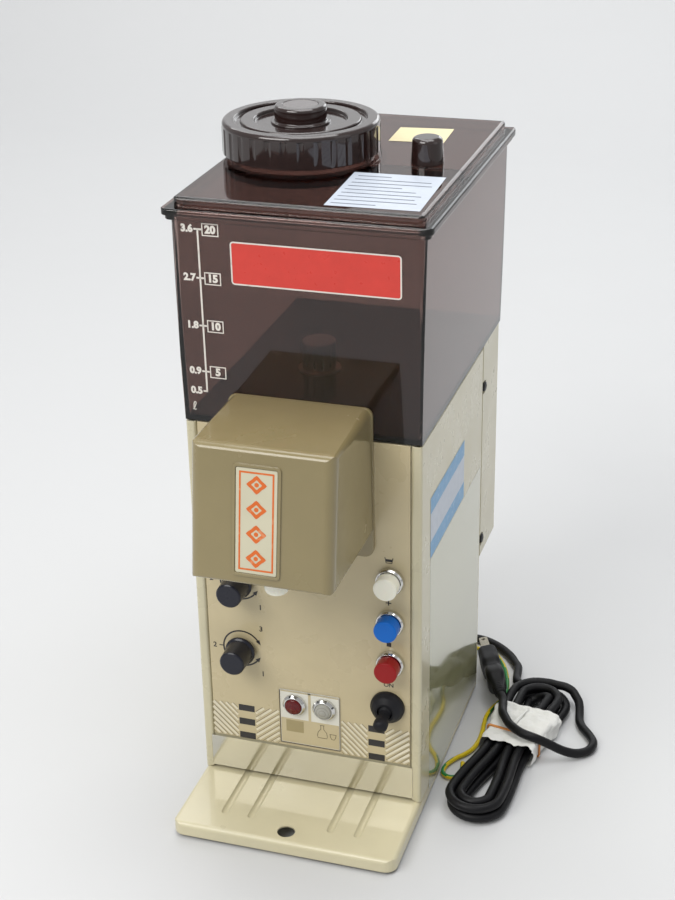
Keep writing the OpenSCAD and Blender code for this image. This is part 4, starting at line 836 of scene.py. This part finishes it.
class Marks:
    """Flat marks laid on the outside of a CAD node: a across, b up, in mm from a point near its face."""

    REACH, DEPTH = 0.03, 0.08          # metres from that point to a ray's start, and along the ray

    def __init__(self, target, origin, across, up, lift=FIRST):
        mesh, at = NODES[target].data, NODES[target].matrix_world
        self.tree = BVHTree.FromPolygons([at @ v.co for v in mesh.vertices],
                                         [tuple(p.vertices) for p in mesh.polygons])
        self.origin = Vector(origin)
        self.across, self.up = Vector(across).normalized(), Vector(up).normalized()
        self.out = self.across.cross(self.up)
        self.lift = lift / 1000
        self.verts, self.faces = [], []

    def place(self, a, b):
        """The face's point at (a, b), lifted off it."""
        start = self.origin + self.across * a / 1000 + self.up * b / 1000 + self.out * self.REACH
        hit = self.tree.ray_cast(start, -self.out, self.DEPTH)[0]
        if hit is None:
            hit = start - self.out * self.REACH
        return hit + self.out * self.lift

    def poly(self, points):
        """One face."""
        base = len(self.verts)
        area = sum(p[0] * q[1] - q[0] * p[1] for p, q in zip(points, points[1:] + points[:1]))
        if area < 0:
            points = points[::-1]
        self.verts += [self.place(*p) for p in points]
        self.faces.append(tuple(range(base, base + len(points))))
        return self

    def strip(self, outer, inner):
        """The band between two closed outlines of equal length."""
        for i in range(len(outer)):
            j = (i + 1) % len(outer)
            self.poly([outer[i], outer[j], inner[j], inner[i]])
        return self

    def rect(self, a0, b0, a1, b1, r=0.0):
        """A rectangle from its left and low edge to its right and high edge, its corners rounded by r."""
        if r <= 0:
            return self.poly([(a0, b0), (a1, b0), (a1, b1), (a0, b1)])
        a, b = (a0 + a1) / 2, (b0 + b1) / 2
        return self.poly([(a + x, b + y) for x, y in round_rect((a1 - a0) / 2, (b1 - b0) / 2, r, 5)])

    def frame(self, a0, b0, a1, b1, width, r=0.0):
        """The outline of such a rectangle, width wide."""
        a, b, hw, hh = (a0 + a1) / 2, (b0 + b1) / 2, (a1 - a0) / 2, (b1 - b0) / 2
        outer = round_rect(hw, hh, max(r, 0.01), 5)
        inner = round_rect(hw - width, hh - width, max(r - width, 0.005), 5)
        return self.strip([(a + x, b + y) for x, y in outer], [(a + x, b + y) for x, y in inner])

    def line(self, p, q, width):
        """A straight stroke."""
        x, y = sideways(p, q, width)
        return self.poly([(p[0] + x, p[1] + y), (p[0] - x, p[1] - y), (q[0] - x, q[1] - y),
                          (q[0] + x, q[1] + y)])

    def path(self, points, width):
        """A stroke through points, its ends and corners cut across the way from neighbour to neighbour."""
        left, right = [], []
        for i, (a, b) in enumerate(points):
            x, y = sideways(points[max(i - 1, 0)], points[min(i + 1, len(points) - 1)], width)
            left.append((a + x, b + y))
            right.append((a - x, b - y))
        for i in range(len(points) - 1):
            self.poly([left[i], right[i], right[i + 1], left[i + 1]])
        return self

    def arc(self, c, r, width, a0, a1, n=40):
        """A stroke round c from the angle a0 to a1, in degrees."""
        angles = [math.radians(a0 + (a1 - a0) * k / n) for k in range(n + 1)]
        return self.path([(c[0] + r * math.cos(a), c[1] + r * math.sin(a)) for a in angles], width)

    def disc(self, c, r, n=32):
        """A filled circle."""
        angles = [2 * math.pi * k / n for k in range(n)]
        return self.poly([(c[0] + r * math.cos(a), c[1] + r * math.sin(a)) for a in angles])

    def text(self, words, at, size, bold=0.02, align="CENTER"):
        """Generic figures in the built-in font; size is their height."""
        data = bpy.data.curves.new("figures", "FONT")
        data.body, data.size, data.offset = words, 1.0, bold
        data.align_x, data.align_y = align, "CENTER"
        data.resolution_u = 3
        obj = link(bpy.data.objects.new("figures", data))
        bpy.context.view_layer.update()
        mesh = obj.to_mesh()
        scale = size / FIGURE_HIGH
        base = len(self.verts)
        self.verts += [self.place(at[0] + v.co.x * scale, at[1] + v.co.y * scale) for v in mesh.vertices]
        self.faces += [tuple(base + i for i in p.vertices) for p in mesh.polygons]
        obj.to_mesh_clear()
        bpy.data.objects.remove(obj)
        bpy.data.curves.remove(data)
        return self

    def done(self, name, material, slot, body=BODY):
        """Makes the marks one piece, all its faces looking out."""
        obj = mesh_object(name, self.verts, self.faces, smooth=False)
        bm = bmesh.new()
        bm.from_mesh(obj.data)
        for f in bm.faces:
            f.normal_update()
            if f.normal.dot(self.out) < 0:
                f.normal_flip()
        bm.to_mesh(obj.data)
        bm.free()
        dress(obj, material)
        return ride(obj, body, slot)


def on_front(target, lift=FIRST):
    """Marks on a face that looks to the front; a is X and b is the height."""
    return Marks(target, mm(0, -0.9, 0), (1, 0, 0), (0, 0, 1), lift)


def on_tank(lift=FIRST):
    """Marks on the tank's front; a is X and b is the height."""
    return Marks("tank", mm(0, -3, 0), (1, 0, 0), (0, 0, 1), lift)


def on_lid(lid, lift):
    """Marks on a lid's top; a is X and b is Y."""
    return Marks(lid, mm(0, 0, 412), (1, 0, 0), (0, 1, 0), lift)


def on_side(lift):
    """Marks on the cabinet's right side; a is Y and b is the height."""
    return Marks("right_side_panel", mm(75, 0, 0), (0, 1, 0), (0, 0, 1), lift)


GAUGE_X, GAUGE_FROM, GAUGE_TO, GAUGE_HALF = -59.6, 289.0, 392.7, 0.55
# height, litres and servings of each mark
GAUGE_MARKS = ((392.4, "3.6", "20"), (362.3, "2.7", "15"), (332.1, "1.8", "10"), (302.4, "0.9", "5"),
               (289.3, "0.5", None))
LITRE_SIGN = [(-69.4, 276.3), (-68.2, 278.2), (-67.4, 280.4), (-67.6, 281.6), (-68.4, 281.4), (-68.8, 280.0),
              (-68.9, 277.6), (-68.3, 276.2), (-67.3, 276.6)]
PLAQUE, PLAQUE_R = (-40, 360, 63.2, 386.6), 2.2          # its left, low, right and high edges


def add_tank_prints(mats):
    """The litre gauge and the plain red plate on the tank's front."""
    gauge = on_tank()
    gauge.rect(GAUGE_X - GAUGE_HALF, GAUGE_FROM, GAUGE_X + GAUGE_HALF, GAUGE_TO)
    for z, litres, servings in GAUGE_MARKS:
        gauge.rect(GAUGE_X - 2.4, z - GAUGE_HALF, GAUGE_X + (2.4 if servings else 0.5), z + GAUGE_HALF)
        gauge.text(litres, (GAUGE_X - 3.0, z), 4.2, 0.055, "RIGHT")
        if servings:
            gauge.frame(GAUGE_X + 2.6, z - 3.9, GAUGE_X + 13.0, z + 3.9, 0.65)
            gauge.text(servings, (GAUGE_X + 7.8, z), 4.5, 0.055)
    gauge.path(LITRE_SIGN, 0.6)
    gauge.done("tank_gauge", mats["white_ink"], "white_print")
    on_tank(SECOND).rect(*PLAQUE, PLAQUE_R).done("tank_plaque", mats["plaque_red"], "red_plastic")
    on_tank(THIRD).frame(*PLAQUE, 0.9, PLAQUE_R).done("tank_plaque_edge", mats["white_ink"], "white_print")


RULE_ENDS = (44, 66, 63, 65, 60, 50, 66, 64, 38)          # X of the plain bars' right ends
RULE_START, RULE_FIRST, RULE_PITCH, RULE_HIGH, RULE_SLANT = 17.6, 10.2, 6.9, 1.3, 0.03


def add_lid_labels(mats):
    """The front lid's label with plain bars in place of its text, and the blank note on the rear lid."""
    label = on_lid("front_lid", SECOND)
    label.poly([(15.2, 5.4), (71.2, 7.0), (69.4, 74.6), (13.2, 72.8)])
    label.done("front_lid_label", mats["label_blank"], "white_paper", "front_lid")
    rules = on_lid("front_lid", 0.18)
    for k, end in enumerate(RULE_ENDS):
        left, y, rise = RULE_START, RULE_FIRST + k * RULE_PITCH, RULE_SLANT * (end - RULE_START)
        rules.poly([(left, y), (end, y + rise), (end, y + RULE_HIGH + rise), (left, y + RULE_HIGH)])
    rules.done("front_lid_label_rules", mats["grey_ink"], "black_plastic", "front_lid")
    note = on_lid("rear_lid", SECOND)
    note.poly([(13.7, 145.1), (49.3, 148.0), (47.7, 182.5), (12.5, 178.8)])
    note.done("rear_lid_note", mats["note_cream"], "white_paper", "rear_lid")


def lozenge(x, z, size=1.0, n=32):
    """A diamond with hollow sides, 12.4 mm wide and 11.2 mm high at size 1."""
    points = []
    for i in range(n):
        t = 2 * math.pi * i / n
        r = 1 - 0.3 * abs(math.sin(2 * t))
        points.append((x + r * 6.2 * math.cos(t) * size, z + r * 5.6 * math.sin(t) * size))
    return points


def add_hood_label(mats):
    """Four lozenges in a frame on the label plate of the hood's leaning front."""
    lean = math.atan(12 / 82.5)
    up = Vector((0, math.sin(lean), math.cos(lean)))
    motif = Marks("hood_label_plate", mm(0, -82, 207), (1, 0, 0), up)
    motif.frame(-12.9, 10.1, 8.3, 69.9, 1.05)
    x = -2.3
    for z in (17.6 + k * 14.9 for k in range(4)):
        motif.strip(lozenge(x, z), lozenge(x, z, 0.52))
        motif.disc((x, z), 1.35)
    motif.done("hood_label_motif", mats["orange_ink"], "orange_rubber")


DIAL_X, DIAL_ZS, SCALE_R, SCALE_ENDS = -45, (109, 159), 12.9, (33, 322)
STRIPES_Z = (38.9, 65.3)
# left and right edge of each striped field, and the slope of its lines
STRIPES = ((-67.5, -50.4, -1.0), (-37.7, -21.4, 0.84), (21.6, 39.0, -1.0), (51.4, 67.4, 0.84))


def dial_scale(marks, c):
    """A ring open to the right with an arrowhead at each end, its pointer's mark and three figures."""
    marks.arc(c, SCALE_R, 1.05, *SCALE_ENDS)
    for angle, way in zip(SCALE_ENDS, (-1, 1)):
        t = math.radians(angle)
        end = Vector((c[0] + SCALE_R * math.cos(t), c[1] + SCALE_R * math.sin(t)))
        t = math.radians(angle + 90 * way)
        ahead, aside = Vector((math.cos(t), math.sin(t))), Vector((-math.sin(t), math.cos(t)))
        back = end - 0.3 * ahead
        marks.poly([end + 3.6 * ahead, back + 1.5 * aside, back - 1.5 * aside])
    marks.line((c[0] - 13.2, c[1]), (c[0] - 16.0, c[1]), 0.7)
    for figure, x, up in (("3", -31.6, 16.4), ("2", -64.0, -0.4), ("1", -31.4, -17.6)):
        marks.text(figure, (x, c[1] + up), 3.6)


def button_signs(marks):
    """A full cup, a plus and a square above the buttons, and the toggle's on mark."""
    z = 188.8
    marks.path([(51.6, z + 2.0), (52.4, z - 1.8), (56.0, z - 1.8), (56.8, z + 2.0)], 0.55)
    marks.rect(52.2, z - 0.9, 56.2, z + 0.9)
    z = 158.6
    marks.rect(52.0, z - 0.35, 55.6, z + 0.35).rect(53.45, z - 1.8, 54.15, z + 1.8)
    z = 128.4
    marks.rect(52.4, z - 1.5, 55.4, z + 1.5)
    marks.text("ON", (53.6, 98.0), 2.9)


def hatch(marks, x0, x1, z0, z1, slope, width, shift=0.0, pitch=4.3):
    """Slanted lines cut off at the block's edges."""
    drop = (x1 - x0) * slope
    z = z0 - abs(drop) + shift
    while z < z1 + abs(drop):
        ends = sorted(((z0 + width / 2 - z) / drop, (z1 - width / 2 - z) / drop))
        low, high = max(0.0, ends[0]), min(1.0, ends[1])
        if high - low > 0.06:
            p, q = [(x0 + (x1 - x0) * t, z + drop * t) for t in (low, high)]
            marks.line(p, q, width)
        z += pitch


def add_panel_prints(mats):
    """All marks of the control plate, and the polished strip below it."""
    dark = on_front("control_plate")
    for z in DIAL_ZS:
        dial_scale(dark, (DIAL_X, z))
    button_signs(dark)
    # solid bars of the two striped blocks
    for x0, x1 in ((-49.6, -38.5), (39.7, 50.7)):
        for z0, z1 in ((60.2, 65.0), (49.4, 54.4), (38.7, 43.5)):
            dark.rect(x0, z0, x1, z1)
    dark.done("panel_marks", mats["dark_ink"], "black_plastic")
    low = on_front("front_panel")
    low.rect(-69.6, 13.5, 69.6, 37.4)
    low.done("lower_strip_face", mats["polished_strip"], "plain_steel")
    pale, thin = on_front("control_plate"), on_front("control_plate", SECOND)
    for x0, x1, slope in STRIPES:
        hatch(pale, x0, x1, *STRIPES_Z, slope, 1.5)
        hatch(thin, x0, x1, *STRIPES_Z, slope, 0.28, 1.5)
    pale.done("panel_stripes", mats["cream_ink"], "white_print")
    thin.done("panel_stripe_lines", mats["brown_ink"], "black_plastic")


LENS_X, LENS_Z = 10.2, 71.6


def add_lens_rings(mats):
    """Rings moulded on the two lamps' fronts, drawn flat in a darker copy of each lens's colour: painted
    shade of their relief.
    """
    for x, node, slot in ((-LENS_X, "power_lamp_lens", "red_lens"),
                          (LENS_X, "warming_lamp_lens", "clear_lens")):
        rings = on_front(node, 0.05)
        for r in (2.2, 4.1):
            rings.arc((x, LENS_Z), r, 0.4, 0, 360, 48)
        rings.done(node + "_rings", mats["ring_" + slot], slot)


FILM_Y, FILM_Z, FILM_PARTS = (21, 158), (6, 181.3), 8
STRIP_Y, STRIP_Z = (20.5, 108.5), (182, 193.5, 213, 224)          # the strip's edges and its bands' heights


def add_side_prints(mats):
    """What is stuck on the right side: a worn blue and white strip, and a glossy clear film with scuffs."""
    film = on_side(0.06)
    wide = FILM_Y[1] - FILM_Y[0]
    ys = [FILM_Y[0] + wide * k / FILM_PARTS for k in range(FILM_PARTS + 1)]
    for y0, y1 in zip(ys, ys[1:]):
        film.rect(y0, FILM_Z[0], y1, FILM_Z[1])
    film.done("side_film", mats["side_film"], "body_paint")
    (y0, y1), (z0, z1, z2, z3) = STRIP_Y, STRIP_Z
    on_side(SECOND).rect(y0, z1, y1, z2).done("side_strip_middle", mats["label_blank"], "white_paper")
    blue = on_side(SECOND).rect(y0, z2, y1, z3).rect(y0, z0, y1, z1)
    blue.done("side_strip_bands", mats["sky_ink"], "blue_plastic")


BOTTLE = [(-1.0, 7.6), (-1.0, 4.6), (-2.9, 2.2), (-3.4, -0.6), (-3.0, -2.2), (3.0, -2.2), (3.4, -0.6),
          (2.9, 2.2), (1.0, 4.6), (1.0, 7.6)]
CUP = [(5.2, 1.6), (5.6, -0.6), (6.4, -2.2), (8.2, -2.2), (9.0, -0.6), (9.4, 1.6)]
BOTTLE_AT, LAMP_LIFT = (8.4, 51.2), 0.14


def add_lamp_prints(mats):
    """The lamp plate's coloured fields and frame, and a bottle and a cup in outline."""
    field = on_front("lamp_plate")
    field.rect(-19.9, 41.8, 19.9, 60.6).rect(-0.9, 60.6, 0.9, 81.9).rect(-19.9, 80.9, 19.9, 81.9)
    field.done("lamp_plate_field", mats["panel_print"], "panel_print")
    lines = on_front("lamp_plate", LAMP_LIFT)
    lines.frame(-20.6, 41.1, 20.6, 82.4, 0.45)
    x, z = BOTTLE_AT
    for outline, left, right, top in ((BOTTLE, -1.6, 1.6, 7.7), (CUP, 5.0, 9.6, 1.7)):
        lines.path([(x + a, z + b) for a, b in outline], 0.4)
        lines.line((x + left, z + top), (x + right, z + top), 0.4)
    lines.done("lamp_plate_lines", mats["brown_ink"], "black_plastic")
    square = on_front("lamp_plate", LAMP_LIFT)
    square.rect(-16.4, 50.4, -4.4, 59.4)
    square.done("lamp_plate_square", mats["tan_ink"], "panel_print")


# ---------------------------------------------------------------- the scene
add_camera()
add_stage()
add_lights()
MATS = build_materials()
add_cords(MATS)
dress_frame(MATS)
add_tank_prints(MATS)
add_lid_labels(MATS)
add_hood_label(MATS)
add_panel_prints(MATS)
add_lamp_prints(MATS)
add_side_prints(MATS)
add_lens_rings(MATS)
add_paper(MATS)
add_paper_roll(MATS)
add_band(MATS)
bpy.context.scene.view_settings.view_transform = "Standard"
